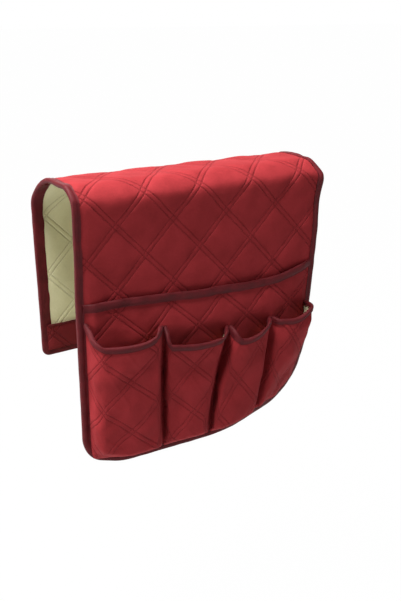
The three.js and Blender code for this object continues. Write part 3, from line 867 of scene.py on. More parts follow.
@dataclass(frozen=True)
class Hang:
    """How the cloth hangs away from the plain saddle, and how far the pockets' cloth stands off the cover."""

    saddle: Saddle
    on_front: Ramp = Ramp(0.0, -10.0)
    on_back: Ramp = Ramp(20.0, 60.0)
    curl_start: tuple[float, float] = (10.0, -331.0)
    curl_end: tuple[float, float] = (165.0, -180.0)
    curl_slopes: tuple[tuple[float, float], ...] = ((0.0, 0.2), (22.0, 0.25))
    curl_softness: float = 8.0
    billow_depth: float = 8.0
    billow_edge: float = 8.0
    billow_side: float = 60.0
    billow_foot: float = -250.0
    billow_rise: float = 100.0
    billow_full: Ramp = Ramp(0.0, 1.15)
    billow_rim: Ramp = Ramp(-178.0, -132.0)
    billow_rim_share: float = 0.2
    sway: float = 1.5
    sway_front: Ramp = Ramp(-30.0, -90.0)
    sway_back: Ramp = Ramp(-70.0, -130.0)
    sway_apart: float = 400.0
    front_opening: Opening = Opening((2.2, -2.2, -1.2), 24.0, Bell(-14.0, 26.0, 11.0))
    back_opening: Opening = Opening((-1.0, 3.6, 0.0), 28.0, Bell(-28.0, 15.0, 15.0))
    hem_lift: float = 4.2
    lifted_hem: Bell = Bell(29.0, 16.0, 16.0)
    lift_heights: Ramp = Ramp(-240.0, -310.0)
    droop: float = 2.0
    droop_reach: float = 10.0
    droop_heights: Ramp = Ramp(-14.0, 0.0)
    crest: float = 3.2
    crest_heights: Bell = Bell(-12.0, 22.0, 8.0)
    crest_start: Ramp = Ramp(0.0, 70.0)
    crest_left_share: float = 0.3
    left_reach: float = 80.0
    right_reach: float = 60.0
    left_drift: tuple[tuple[float, float], ...] = (
        (-400.0, 5.0), (-250.0, 5.5), (-180.0, 5.5), (-125.0, 4.8), (-90.0, 2.2), (-60.0, 0.4),
        (-20.0, 0.0), (40.0, 0.0),
    )
    right_drift: tuple[tuple[float, float], ...] = (
        (-400.0, 0.0), (-260.0, 0.0), (-226.0, 1.2), (-208.0, 5.5), (-190.0, 8.8), (-172.0, 8.6),
        (-150.0, 6.8), (-128.0, 4.5), (-107.0, 2.5), (-84.0, 0.4), (-50.0, 0.0), (40.0, 0.0),
    )

    def laid(self, x: Array, run: Array, height: Array) -> Array:
        """Points of the hanging cloth, for places on the flat one."""
        return self.sagged(self.saddle.bend(x, run, height))

    def curl(self, x: Array, z: Array) -> Array:
        """Drift towards the arm.

        Args:
            x: Place along the arm.
            z: Height.

        Returns:
            The drift along y.
        """
        along_x = self.curl_end[0] - self.curl_start[0]
        along_z = self.curl_end[1] - self.curl_start[1]
        length = math.hypot(along_x, along_z)
        past = ((x - self.curl_start[0]) * along_z - (z - self.curl_start[1]) * along_x) / length
        return sum(slope * soft_ramp(past - beyond, self.curl_softness) for beyond, slope in self.curl_slopes)

    def billow(self, x: Array, z: Array) -> Array:
        """How far the flat pocket and all that is sewn to it stands off the cover.

        Args:
            x: Place along the arm.
            z: Height.

        Returns:
            The distance.
        """
        from_edge = self.saddle.half_width - self.billow_edge - np.abs(x)
        across = self.billow_full.at(from_edge / self.billow_side)
        up = self.billow_full.at((z - self.billow_foot) / self.billow_rise)
        return self.billow_depth * across * up * mix(1.0, self.billow_rim_share, self.billow_rim.at(z))

    def sagged(self, points: Array) -> Array:
        """Lets points of the front and back hang as the cloth does.

        The front curls and its sides drift inwards, front and back sway slowly, an end of each shoulder
        gapes, the hem lifts near its left corner, and the front shoulder bulges and droops at its right end.

        Args:
            points: Points of the bent saddle.

        Returns:
            The points where they hang.
        """
        x, y, z = points.T
        from_left, from_right = self.saddle.half_width + x, self.saddle.half_width - x
        front, behind = self.on_front.at(y), self.on_back.at(y)
        slow = front * self.sway_front.at(z) * SWAY.at(x, z)
        slow = slow + behind * self.sway_back.at(z) * SWAY.at(x + self.sway_apart, z)
        drift = self.drift(self.left_drift, z) * np.exp(-from_left / self.left_reach)
        drift = drift + self.drift(self.right_drift, z) * np.exp(-from_right / self.right_reach)
        crest = self.crest * self.crest_heights.at(z)
        crest = crest * mix(self.crest_left_share, 1.0, self.crest_start.at(from_left))
        lift = self.hem_lift * self.lifted_hem.at(from_left) * self.lift_heights.at(z)
        droop = self.droop * np.exp(-from_right / self.droop_reach) * self.droop_heights.at(z)
        moved = points + front[:, None] * self.front_opening.moves(from_right, z)
        moved += behind[:, None] * self.back_opening.moves(from_left, z)
        moved[:, 1] += front * (self.curl(x, z) + drift - crest) + self.sway * slow
        moved[:, 2] += front * (lift - droop)
        return moved

    @staticmethod
    def drift(rows: Sequence[tuple[float, float]], z: Array) -> Array:
        """Looks up an edge's drift along y at each height, in rows of height and drift."""
        curve = smooth_curve(rows, DRIFT_SAMPLES)
        return np.interp(z, curve[:, 0], curve[:, 1])


@dataclass(frozen=True)
class Outline:
    """The edge of the whole organizer, laid flat."""

    saddle: Saddle
    front_left_corner: float = 42.0
    front_corner: float = 56.0
    back_corner: float = 9.0
    front_cuts: int = 10
    back_cuts: int = 4
    widest_turn: float = 0.25

    def front_corner_at(self, x: Array) -> Array:
        """Radius of the front hem's corner on the side of x."""
        return np.where(np.asarray(x) < 0.0, self.front_left_corner, self.front_corner)

    def inset(self, x: Array, run: Array) -> Array:
        """Distance inwards from the edge.

        Args:
            x: Place along the arm.
            run: Distance along the saddle.

        Returns:
            The distance, negative outside.
        """
        half = self.saddle.half_width
        found = half - np.abs(x)
        from_front, from_back = run + self.saddle.front_drop, self.saddle.back_end - run
        ends = ((from_front, self.front_corner_at(x)), (from_back, self.back_corner))
        for from_end, corner in ends:
            past_side = np.maximum(np.abs(x) - (half - corner), 0.0)
            past_end = np.maximum(corner - from_end, 0.0)
            straight = np.minimum(found, from_end)
            in_corner = (past_side > 0.0) & (past_end > 0.0)
            found = np.where(in_corner, corner - np.hypot(past_side, past_end), straight)
        return found

    def cuts(self, margin: float, low: float, high: float) -> list[tuple]:
        """Straight cuts that leave the cloth inside the edge, between two runs.

        Args:
            margin: How far inside the edge.
            low: Run of the lower end, or a lower value for the front hem.
            high: Run of the upper end, or a higher value for the back hem.

        Returns:
            The cuts, each a point and the direction that is cut away.
        """
        half = self.saddle.half_width
        front_end, back_end = -self.saddle.front_drop, self.saddle.back_end
        low, high = max(low, front_end + margin), min(high, back_end - margin)
        found = [((half - margin, 0.0), (1.0, 0.0)), ((margin - half, 0.0), (-1.0, 0.0))]
        found += [((0.0, low), (0.0, -1.0)), ((0.0, high), (0.0, 1.0))]
        rounds = []
        if low < front_end + self.front_corner:
            for side, corner in ((-1.0, self.front_left_corner), (1.0, self.front_corner)):
                rounds.append((side, front_end, -1.0, corner, self.front_cuts))
        if high > back_end - self.back_corner:
            rounds += [(side, back_end, 1.0, self.back_corner, self.back_cuts) for side in (-1.0, 1.0)]
        for side, end, hand, corner, count in rounds:
            for turn in (np.arange(count) + 0.5) / count * QUARTER:
                away = (side * math.cos(turn), hand * math.sin(turn))
                reach = corner - margin
                at = (side * (half - corner) + away[0] * reach, end - hand * corner + away[1] * reach)
                found.append((at, away))
        return found

    def edge(self, start: float, end: float, step: float) -> Array:
        """Follows the edge from one side round the front or back hem to the other.

        Args:
            start: Run at which the sides start.
            end: Run of the hem, at the front or the back.
            step: Distance between samples.

        Returns:
            Rows of x, run, inward x, inward run and length along the edge.
        """
        half = self.saddle.half_width
        hand = math.copysign(1.0, end - start)
        corners = (self.back_corner,) * 2 if hand > 0.0 else (self.front_corner, self.front_left_corner)
        sides = []
        for corner in corners:
            rows = [(half, run, -1.0, 0.0) for run in even_steps(start, end - hand * corner, step)[:-1]]
            for turn in even_steps(0.0, QUARTER, min(step / corner, self.widest_turn)):
                x, out = math.cos(turn), math.sin(turn)
                rows.append((half - corner + corner * x, end - hand * corner * (1 - out), -x, -hand * out))
            sides.append(np.array(rows))
        right, left = sides
        between = even_steps(half - corners[0], corners[1] - half, step)[1:-1]
        hem = np.array([(x, end, 0.0, -hand) for x in between])
        line = np.vstack([right, hem, left[::-1] * (-1.0, 1.0, -1.0, 1.0)])
        return np.column_stack([line, lengths_along(line)])


class LayerName(Enum):
    """The three layers, from the arm outwards."""

    LINING = "lining"
    WADDING = "wadding"
    COVER = "cover"


@dataclass(frozen=True)
class Heights:
    """Inner and outer face of a layer: on the stitches, in the middle of a diamond, and under the tape."""

    stitched: tuple[float, float]
    puffed: tuple[float, float]
    bound: tuple[float, float]


LAYER_HEIGHTS = {
    LayerName.LINING: Heights((0.8, 1.3), (0.0, 0.5), (1.1, 1.6)),
    LayerName.WADDING: Heights((1.6, 3.5), (0.8, 4.9), (1.8, 2.7)),
    LayerName.COVER: Heights((3.6, 4.2), (5.5, 6.2), (3.0, 3.6)),
}
STITCH_OFFSETS = (0.0, 1.3, 2.75, 3.6, 4.8, 6.8, 9.5, 13.0, 17.0, 21.3)


@dataclass
class QuiltedLayers:
    """Cover, wadding and lining, quilted together, in a front and a back half that meet over the arm."""

    saddle: Saddle
    outline: Outline
    hang: Hang
    finishes: dict[LayerName, bpy.types.Material]
    quilting: Quilting
    edge_margin: float = 2.2
    puff_edge: Ramp = Ramp(7.0, 15.0)
    bound_edge: Ramp = Ramp(11.0, 8.2)
    hidden: Ramp = Ramp(-122.0, -134.0)
    hidden_share: float = 0.45
    top_start: float = 14.0
    top_share: float = 0.6
    crease: float = 0.34
    fine_crease: float = 0.2

    def heights(self, layer: LayerName, x: Array, run: Array, outside: Array) -> Array:
        """Height of a layer's face.

        Args:
            layer: The layer.
            x: Place along the arm.
            run: Distance along the saddle.
            outside: 1 for the outer face, 0 for the inner one.

        Returns:
            The height of each place.
        """
        sizes = LAYER_HEIGHTS[layer]
        inset = self.outline.inset(x, run)
        wide = (layer is LayerName.LINING) * BACK_TAPE_EXTRA * (run > MEETING_RUN)
        puff = self.quilting.relief(x, run) * self.puff_edge.at(inset - wide)
        puff = puff * mix(1.0, self.hidden_share, self.hidden.at(run))
        flat_start = self.saddle.flat_start
        puff = puff * mix(1.0, self.top_share, smoothstep(flat_start - self.top_start, flat_start, run))
        inner = mix(sizes.stitched[0], sizes.puffed[0], puff)
        outer = mix(sizes.stitched[1], sizes.puffed[1], puff)
        free = mix(inner, outer, outside)
        pinched = mix(sizes.bound[0], sizes.bound[1], outside)
        crease = self.crease * CREASES.at(x, run) + self.fine_crease * FINE_CREASES.at(x, run)
        return mix(free + crease * FREE_EDGE.at(inset), pinched, self.bound_edge.at(inset - wide))

    def half(self, layer: LayerName, name: str, low: float, high: float) -> bpy.types.Object:
        """Makes one half of a layer.

        Args:
            layer: The layer.
            name: Name of the piece.
            low: Lowest run.
            high: Highest run.

        Returns:
            The piece.
        """
        side = self.saddle.half_width
        ends = (max(low, -self.saddle.front_drop), min(high, self.saddle.back_end))
        corners = [self.quilting.lines(x, run) for x in (-side, side) for run in ends]
        firsts, seconds = zip(*corners)
        columns = stitch_steps(self.quilting, min(firsts), max(firsts), STITCH_OFFSETS)
        rows = stitch_steps(self.quilting, min(seconds), max(seconds), STITCH_OFFSETS)

        def place(x: Array, run: Array, outside: Array) -> Array:
            """Points of the layer at places of the cloth, on the face that outside says."""
            return self.hang.laid(x, run, self.heights(layer, x, run, outside))

        cuts = self.outline.cuts(self.edge_margin, low, high)
        piece = lay_cloth(name, columns, rows, place, cuts=cuts, lattice=self.quilting)
        piece.data.materials.append(self.finishes[layer])
        return piece

    def build(self) -> None:
        """Makes both halves of every layer, laid over the two shoulders."""
        for layer in LayerName:
            front = self.half(layer, f"{layer.value}_front_half", -math.inf, MEETING_RUN)
            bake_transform(front)
            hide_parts(f"{layer.value}_front", f"{layer.value}_top")
            back = self.half(layer, f"{layer.value}_back_half", MEETING_RUN, math.inf)
            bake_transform(back)
            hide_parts(f"{layer.value}_back")
            LOG.info("%s: %d faces", layer.value, len(front.data.polygons) + len(back.data.polygons))


def stitch_steps(quilting: Quilting, low: float, high: float, offsets: Sequence[float]) -> Array:
    """Line numbers for the grid of a quilted cloth, close together beside the stitches.

    Args:
        quilting: The quilting.
        low: Lowest line number needed.
        high: Highest line number needed.
        offsets: Distances from the middle of a double line.

    Returns:
        The line numbers.
    """
    found = set()
    for line in range(math.floor(low) - 1, math.ceil(high) + 2):
        for offset in (*offsets, 0.5 * quilting.spacing):
            share = offset / quilting.spacing
            found |= {round(line - share, 6), round(line + share, 6)}
    low, high = low - LINE_SLACK, high + LINE_SLACK
    return np.array(sorted(number for number in found if low <= number <= high))


@dataclass
class EdgeBinding:
    """Tape folded over the organizer's edge and stitched down, in a front and a back run."""

    saddle: Saddle
    outline: Outline
    hang: Hang
    finish: bpy.types.Material
    width: float = 8.3
    front_step: float = 2.4
    back_step: float = 3.0
    samples: int = 29
    stitch_inset: float = 6.4
    stitch_pitch: float = 3.4
    stitch_width: float = 0.8
    dimple: float = 0.12
    on_pockets: Ramp = Ramp(-115.0, -139.0)
    pocket_lift: float = 0.6
    uneven_height: float = 0.16
    uneven_width: float = 0.035
    pucker: float = 0.14
    pucker_start: Ramp = Ramp(0.6, 3.0)
    wander: float = 0.12
    wander_from: float = 4.0

    def section(self, extra: float) -> Array:
        """The fold of the tape from its inner free edge round to its outer one.

        Args:
            extra: How much wider its inner side is.

        Returns:
            Rows of inset from the edge and height.
        """
        thick = self.saddle.thickness
        points = [
            (self.width + extra, 0.45),
            (self.stitch_inset + extra, 0.5),
            (4.0, -0.2),
            (0.9, 0.0),
            (-0.1, 0.26 * thick),
            (-0.1, 0.74 * thick),
            (0.9, thick),
            (4.0, thick + 0.3),
            (self.stitch_inset, thick - 0.45),
            (self.width, thick - 0.3),
        ]
        return smooth_curve(points, self.samples)

    def run_of_tape(self, name: str, end: float, step: float, extra: float) -> bpy.types.Object:
        """Makes the tape along both sides and round one hem.

        Args:
            name: Name of the piece.
            end: Run of the hem.
            step: Distance between samples along the tape.
            extra: How much wider its inner side is.

        Returns:
            The piece.
        """
        edge = self.outline.edge(MEETING_RUN, end, step)
        section = self.section(extra)
        across = lengths_along(section)
        tangent = np.gradient(section, across, axis=0)
        tangent /= np.linalg.norm(tangent, axis=1)[:, None]
        unevenness = Crumple(seed=31, length=22.0)
        pucker = Crumple(seed=37, length=7.5)

        def place(along: Array, around: Array, outside: Array) -> Array:
            """Points of the tape.

            Args:
                along: Length along the edge.
                around: Length round the fold.
                outside: 1 for the tape's outer face, 0 for its inner one.

            Returns:
                The points where they hang.
            """
            inset, height = (np.interp(around, across, section[:, k]) for k in range(2))
            slope = [np.interp(around, across, tangent[:, k]) for k in range(2)]
            depth = TAPE_GAUGE * (1.0 - outside)
            inset = inset + depth * slope[1]
            height = height - depth * slope[0]
            x, run, in_x, in_run = (np.interp(along, edge[:, 4], edge[:, k]) for k in range(4))
            outer_side = smoothstep(0.0, self.saddle.thickness, height)
            uneven = unevenness.at(along, 0.0 * along)
            ripple = pucker.at(along, around) * self.pucker_start.at(inset)
            height = height + self.pocket_lift * self.on_pockets.at(run) * outer_side
            height = height + self.uneven_height * uneven + self.pucker * ripple
            stitch = np.exp(-(((inset - self.stitch_inset) / self.stitch_width) ** 2))
            dimple = 0.5 + 0.5 * np.cos(2.0 * math.pi * along / self.stitch_pitch)
            height = height - (2.0 * outer_side - 1.0) * stitch * dimple * self.dimple
            wander = self.wander * pucker.at(along, 0.0 * along) * (inset > self.wander_from)
            inset = inset * (1.0 + self.uneven_width * uneven) + wander
            return self.hang.laid(x + in_x * inset, run + in_run * inset, height)

        def pattern(along: Array, around: Array) -> tuple[Array, Array]:
            """Place on the flat tape: across it, then along it."""
            return around, along

        piece = lay_cloth(name, edge[:, 4], across, place, pattern=pattern, smooth_degrees=TAPE_DEGREES)
        piece.data.materials.append(self.finish)
        LOG.info("%s: %.0f mm of tape", name, edge[-1, 4])
        return piece

    def build(self) -> None:
        """Makes the two runs of tape."""
        front = self.run_of_tape("binding_front_run", -self.saddle.front_drop, self.front_step, 0.0)
        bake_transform(front)
        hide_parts("binding_front", "binding_top_left", "binding_top_right")
        back = self.run_of_tape("binding_back_run", self.saddle.back_end, self.back_step, BACK_TAPE_EXTRA)
        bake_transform(back)
        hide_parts("binding_back")


@dataclass
class HemFacing:
    """The strip of quilted cover cloth turned up inside the hem of the back flap, with a piped upper edge."""

    saddle: Saddle
    hang: Hang
    finish: bpy.types.Material
    tape_finish: bpy.types.Material
    quilting: Quilting
    height: float = 40.0
    margin: float = 7.0
    step: float = 2.6
    fine_step: float = 1.5
    gap: float = 0.9
    puff: float = 1.3
    crease: float = 0.15
    puff_edge: Ramp = Ramp(8.0, 14.0)
    puff_start: float = 7.0
    bound_edge: Ramp = Ramp(11.0, 8.0)
    piping: float = 2.2
    piping_wall: float = 0.5
    piping_turn: float = 0.97
    piping_samples: int = 14
    piping_rise: float = 0.3
    piping_wander: float = 0.2
    piping_gap: float = 1.3
    piping_squash: float = 0.7

    def build(self) -> None:
        """Makes the strip and the piping along its upper edge."""
        saddle = self.saddle
        side = saddle.half_width - self.margin
        low, high = saddle.back_end - self.height, saddle.back_end - self.margin

        def place(x: Array, run: Array, outside: Array) -> Array:
            """Points of the strip.

            Args:
                x: Place along the arm.
                run: Distance along the saddle.
                outside: 1 for the face towards the arm, 0 for the other.

            Returns:
                The points where they hang.
            """
            inset = np.minimum(saddle.half_width - np.abs(x), saddle.back_end - run)
            puff = self.quilting.relief(x, run) * self.puff_edge.at(inset)
            puff = puff * smoothstep(low, low + self.puff_start, run)
            lift = self.gap * (1.0 - self.bound_edge.at(inset)) + self.puff * puff
            lift = lift + self.crease * CREASES.at(x, run)
            return self.hang.laid(x, run, -lift - COVER_GAUGE * outside)

        columns, rows = even_steps(-side, side, self.step), even_steps(low, high, self.fine_step)
        strip = lay_cloth("hem_facing", columns, rows, place)
        # The strip's finish is the cover cloth painted darker, as painted shade.
        strip.data.materials.append(self.finish)
        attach(strip, "back_flap")
        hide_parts("hem_facing_back")

        def pipe(x: Array, turn: Array, outside: Array) -> Array:
            """Points of the piping.

            Args:
                x: Place along the arm.
                turn: Angle round the piping.
                outside: 1 for its outer face, 0 for its inner one.

            Returns:
                The points where they hang.
            """
            radius = 0.5 * self.piping - self.piping_wall * (1.0 - outside)
            wander = self.piping_wander * FINE_CREASES.at(x, 0.0 * x)
            run = low + self.piping_rise + radius * np.cos(turn) + wander
            lift = self.piping_gap + self.piping_squash * radius * (1.0 + np.sin(turn))
            return self.hang.laid(x, run, -lift)

        def pattern(x: Array, turn: Array) -> tuple[Array, Array]:
            """Place on the flat piping: round it, then along it."""
            return turn, x

        turns = np.linspace(0.0, 2.0 * math.pi * self.piping_turn, self.piping_samples)
        columns = even_steps(1.0 - side, side - 1.0, self.step)
        piping = lay_cloth("hem_facing_piping", columns, turns, pipe, pattern=pattern)
        piping.data.materials.append(self.tape_finish)
        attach(piping, "back_flap")
        LOG.info("hem facing: %.0f by %.0f mm", 2.0 * side, high - low)


@dataclass
class MagazinePocket:
    """The wide flat pocket: quilted cloth sewn into the front's binding, with a folded tape along its rim."""

    saddle: Saddle
    outline: Outline
    hang: Hang
    finish: bpy.types.Material
    tape_finish: bpy.types.Material
    quilting: Quilting
    rim_rows: tuple[tuple[float, float], ...] = (
        (0.0, 126.0), (0.17, 125.2), (0.31, 128.4), (0.46, 132.5), (0.6, 134.5),
        (0.72, 136.0), (0.81, 135.5), (0.88, 131.0), (0.95, 126.0), (1.0, 123.0),
    )
    rim_samples: int = 120
    rim_wander: float = 0.3
    rim_stretch: float = 0.35
    stand: float = 6.4
    bound_height: float = 3.8
    puff: float = 1.9
    puff_edge: Ramp = Ramp(9.0, 18.0)
    crease: float = 0.5
    crease_shift: float = 90.0
    fine_crease: float = 0.12
    hidden: Ramp = Ramp(-205.0, -220.0)
    hidden_share: float = 0.15
    fine_above: float = -215.0
    step: float = 1.6
    fine_step: float = 1.4
    coarse_step: float = 4.5
    margin: float = 4.5
    tape_margin: float = 7.0
    tape_width: float = 8.0
    tape_step: float = 1.7
    tape_wander: float = 0.25
    tape_ripple: float = 0.16

    @property
    def highest(self) -> float:
        """Depth of the rim's highest point."""
        return min(depth for _, depth in self.rim_rows)

    def rim(self, x: Array) -> Array:
        """Height of the rim.

        Args:
            x: Place along the arm.

        Returns:
            z of the rim.
        """
        share = (x + self.saddle.half_width) / (2.0 * self.saddle.half_width)
        curve = smooth_curve([(100.0 * a, b) for a, b in self.rim_rows], self.rim_samples)
        wander = self.rim_wander * CREASES.at(self.rim_stretch * x, 0.0 * x)
        return wander - np.interp(100.0 * share, curve[:, 0], curve[:, 1])

    def height(self, x: Array, z: Array) -> Array:
        """Height of the cloth's inner face.

        Args:
            x: Place along the arm.
            z: Height along the front.

        Returns:
            Distance from the front's inside face.
        """
        inset = self.outline.inset(x, z)
        seen = mix(1.0, self.hidden_share, self.hidden.at(z))
        puff = self.puff * self.quilting.relief(x, z) * self.puff_edge.at(inset)
        crease = self.crease * CREASES.at(x, z + self.crease_shift)
        crease = crease + self.fine_crease * FINE_CREASES.at(x, z)
        loose = self.stand + self.hang.billow(x, z) + seen * (puff + crease)
        return mix(self.bound_height, loose, FREE_EDGE.at(inset))

    def build(self) -> None:
        """Makes the cloth and the tape on its rim."""
        side = self.saddle.half_width - self.margin
        foot = -self.saddle.front_drop
        fine = even_steps(self.fine_above, -self.highest, self.fine_step)
        rows = np.concatenate([even_steps(foot, self.fine_above, self.coarse_step)[:-1], fine])
        rows = (rows - foot) / (rows[-1] - foot)

        def pattern(x: Array, share: Array) -> tuple[Array, Array]:
            """Place on the flat cloth: x, and z at a share of the height."""
            low = lower_edge(self.saddle, self.outline, x, self.margin)
            return x, mix(low, self.rim(x), share)

        def place(x: Array, share: Array, outside: Array) -> Array:
            """Points of the cloth.

            Args:
                x: Place along the arm.
                share: Share of the height.
                outside: 1 for the cloth's outer face, 0 for its inner one.

            Returns:
                The points where they hang.
            """
            _, z = pattern(x, share)
            return self.hang.laid(x, z, self.height(x, z) + COVER_GAUGE * outside)

        columns = even_steps(-side, side, self.step)
        piece = lay_cloth("magazine_pocket", columns, rows, place, pattern=pattern)
        piece.data.materials.append(self.finish)
        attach(piece, "front_panel")
        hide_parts("magazine_pocket_cloth")
        self.build_tape(self.saddle.half_width - self.tape_margin)
        LOG.info("magazine pocket: %d faces", len(piece.data.polygons))

    def build_tape(self, side: float) -> None:
        """Makes the tape folded over the rim.

        Args:
            side: Distance of its ends from the middle.
        """
        w = self.tape_width
        fold = [(-w, -0.95), (-0.5 * w, -1.1), (0.0, -0.95), (1.2, 0.4), (0.2, 1.8), (-0.5 * w, 2.25)]
        section = smooth_curve([*fold, (-0.84 * w, 1.6), (-w, 1.75)], 25)
        across = lengths_along(section)
        pucker = Crumple(seed=43, length=13.0)

        def place(x: Array, around: Array, outside: Array) -> Array:
            """Points of the tape.

            Args:
                x: Place along the arm.
                around: Length round the fold.
                outside: 1 for the tape's outer face, 0 for its inner one.

            Returns:
                The points where they hang.
            """
            rise, out = (np.interp(around, across, section[:, k]) for k in range(2))
            middle = np.interp(around, across, np.gradient(section[:, 0], across))
            turned = np.interp(around, across, np.gradient(section[:, 1], across))
            depth = TAPE_GAUGE * (1.0 - outside)
            rise, out = rise + depth * turned, out - depth * middle
            ripple = pucker.at(x, around)
            on_face = (rise < -1.0) & (out > 0.0)
            z = self.rim(x) + rise + self.tape_wander * ripple * on_face
            height = self.height(x, np.minimum(z, self.rim(x))) + out + self.tape_ripple * ripple
            return self.hang.laid(x, z, height)

        def pattern(x: Array, around: Array) -> tuple[Array, Array]:
            """Place on the flat tape: across it, then along it."""
            return around, x

        columns = even_steps(-side, side, self.tape_step)
        piece = lay_cloth("magazine_pocket_tape", columns, across, place, pattern=pattern)
        piece.data.materials.append(self.tape_finish)
        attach(piece, "front_panel")
        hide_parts("magazine_pocket_binding")


def lower_edge(saddle: Saddle, outline: Outline, x: Array, margin: float) -> Array:
    """Height of the front hem's edge, a margin inside it.

    Args:
        saddle: The saddle.
        outline: Its edge.
        x: Place along the arm.
        margin: How far inside the edge.

    Returns:
        z of the edge.
    """
    corner = outline.front_corner_at(x)
    radius = corner - margin
    past = np.clip(np.abs(x) - (saddle.half_width - corner), 0.0, radius)
    return -saddle.front_drop + corner - np.sqrt(radius * radius - past * past)


@dataclass(frozen=True)
class Seam:
    """Where a gusset is sewn on: x at the rim, x at the foot, and how late it leaves the foot's x."""

    top: float
    foot: float
    power: float = 1.0

    def aside(self, by: float) -> "Seam":
        """The same seam moved sideways."""
        return Seam(self.top + by, self.foot + by, self.power)

    def at(self, share: Array) -> Array:
        """x at shares of the height."""
        return mix(self.foot, self.top, np.clip(share, 0.0, None) ** self.power)


@dataclass(frozen=True)
class Gusset:
    """A side wall: how far it stands out, how its front corner leans and is rounded, how full its foot is."""

    depth: float
    lean_top: float
    lean_foot: float
    corner: float
    full: float = 1.0


@dataclass(frozen=True)
class Rim:
    """How deep a rim lies round the pocket: rows of station and depth."""

    rows: tuple[tuple[float, float], ...]

    def depth(self, station: Array) -> Array:
        """Depth at places round the pocket."""
        curve = smooth_curve(self.rows, CURVE_SAMPLES)
        return np.interp(station, curve[:, 0], curve[:, 1])


LAST_STATION = 5.0
MIDDLE_STATION = 2.5


@dataclass
class GussetedPocket:
    """A pocket with a front wall and two gussets: quilted cloth, its lining, and tape on the rim."""

    name: str
    saddle: Saddle
    outline: Outline
    hang: Hang
    left_seam: Seam
    right_seam: Seam
    left: Gusset
    right: Gusset
    rim: Rim
    quilting: Quilting
    finish: bpy.types.Material
    lining_finish: bpy.types.Material
    tape_finish: bpy.types.Material
    seed: int
    seam_inset: float = 6.5
    cloth_step: float = 1.5
    lining_step: float = 3.0
    tape_step: float = 1.6
    gusset_step: float = 0.11
    stand: float = 7.5
    bound_height: float = 4.7
    foot_start: Ramp = Ramp(0.0, 0.05)
    foot_shares: tuple[float, ...] = (0.0, 0.12, 0.88, 1.0)
    clearance: float = 0.3
    bulge: float = 2.5
    belly: float = 20.0
    upright_share: float = 0.85
    roundest: float = 0.9
    droop: float = 0.4
    station_length: float = 22.0
    unrolled: float = 4.0
    foot_edge: Ramp = Ramp(0.0, 0.08)
    rim_edge: Ramp = Ramp(0.99, 0.93)
    left_edge: Ramp = Ramp(0.0, 0.5)
    right_edge: Ramp = Ramp(5.0, 3.6)
    puff: float = 1.05
    puff_middle: float = 0.5
    wave: float = 1.4
    wave_length: float = 58.0
    crease: float = 0.5
    crease_length: float = 24.0
    crease_stretch: float = 0.8
    fold: float = 0.9
    fold_length: float = 34.0
    fold_slant: float = 0.7
    fold_stretch: float = 0.25
    fold_sharpness: float = 4.0
    fold_middle: float = 0.3
    sideways: float = 0.6
    lining_start: float = 0.03
    tape_width: float = 6.0
    tape_ripple: float = 0.18
    tape_wander: float = 0.3

    @property
    def height(self) -> float:
        """Height of the pocket at its left corner."""
        return self.saddle.front_drop - float(self.rim.depth(2.0))

    def fullness(self, share: Array, full: float) -> Array:
        """How far forward the wall stands, 0 at the foot and 1 at the rim.

        Args:
            share: Share of the height.
            full: 1 where the pocket is deep down to its foot.

        Returns:
            The share of the gusset's depth.
        """
        round_belly = np.sin(QUARTER * np.clip(share * self.height / self.belly, 0.0, 1.0))
        taper = np.clip(share / self.upright_share, 0.0, 1.0) ** 2
        return mix(taper, round_belly, full)

    def points(self, station: Array, share: Array, inset: Array) -> tuple[Array, Array, Array]:
        """Places of the wall on the front.

        Args:
            station: 0 to 1 along the left gusset, to 2 round the corner, to 3 across the front, then back.
            share: Share of the height.
            inset: Distance inside the outer face.

        Returns:
            x, z and height off the front's inside face.
        """
        least = COVER_GAUGE + LINING_GAUGE + 2.0 * self.clearance
        sides = []
        for seam, side, by in ((self.left_seam, self.left, inset), (self.right_seam, self.right, -inset)):
            full = self.fullness(share, side.full)
            depth = least + (side.depth - least) * full
            slant = mix(side.lean_foot, side.lean_top, share) * full / depth
            depth = depth - inset
            radius = np.minimum(side.corner - inset, self.roundest * depth)
            sides.append((seam.at(share) + by, slant, depth, radius))
        (x_left, slant_left, deep_left, round_left), (x_right, slant_right, deep_right, round_right) = sides
        from_left = station < MIDDLE_STATION
        seam_x = np.where(from_left, x_left, x_right)
        slant = np.where(from_left, slant_left, slant_right)
        depth = np.where(from_left, deep_left, deep_right)
        radius = np.where(from_left, round_left, round_right)
        inwards = np.where(from_left, 1.0, -1.0)
        own = np.where(from_left, station, LAST_STATION - station)
        turn = QUARTER * np.clip(own - 1.0, 0.0, 1.0)
        out = np.where(own < 1.0, own * (depth - radius), depth - radius + radius * np.sin(turn))
        x = seam_x + slant * out + inwards * radius * (1.0 - np.cos(turn)) * (own >= 1.0)
        across = np.clip(station - 2.0, 0.0, 1.0)
        on_front = (station > 2.0) & (station < 3.0)
        start = x_left + slant_left * deep_left + round_left
        stop = x_right + slant_right * deep_right - round_right
        x = np.where(on_front, mix(start, stop, across), x)
        fuller = np.clip(share / self.upright_share, 0.0, 1.0)
        swell = self.bulge * fuller * np.sin(math.pi * across)
        out = np.where(on_front, mix(deep_left, deep_right, across) + swell, out)
        foot_share = np.interp(station, (1.0, 2.0, 3.0, 4.0), self.foot_shares)
        foot_x = mix(self.left_seam.foot, self.right_seam.foot, foot_share)
        foot = lower_edge(self.saddle, self.outline, foot_x, self.seam_inset)
        z = mix(foot, self.rim_height(station), share)
        free = FREE_EDGE.at(self.outline.inset(x, z)) * self.foot_start.at(share)
        return x, z, mix(self.bound_height, self.stand, free) + out + self.hang.billow(x, z)

    def rim_height(self, station: Array) -> Array:
        """Height of the rim round the pocket.

        Args:
            station: Place round the pocket.

        Returns:
            z of the rim.
        """
        sag = Crumple(seed=self.seed + 50, length=30.0, waves=5)
        along = self.station_length * station
        return self.droop * sag.at(along, 0.0 * along) - self.rim.depth(station)

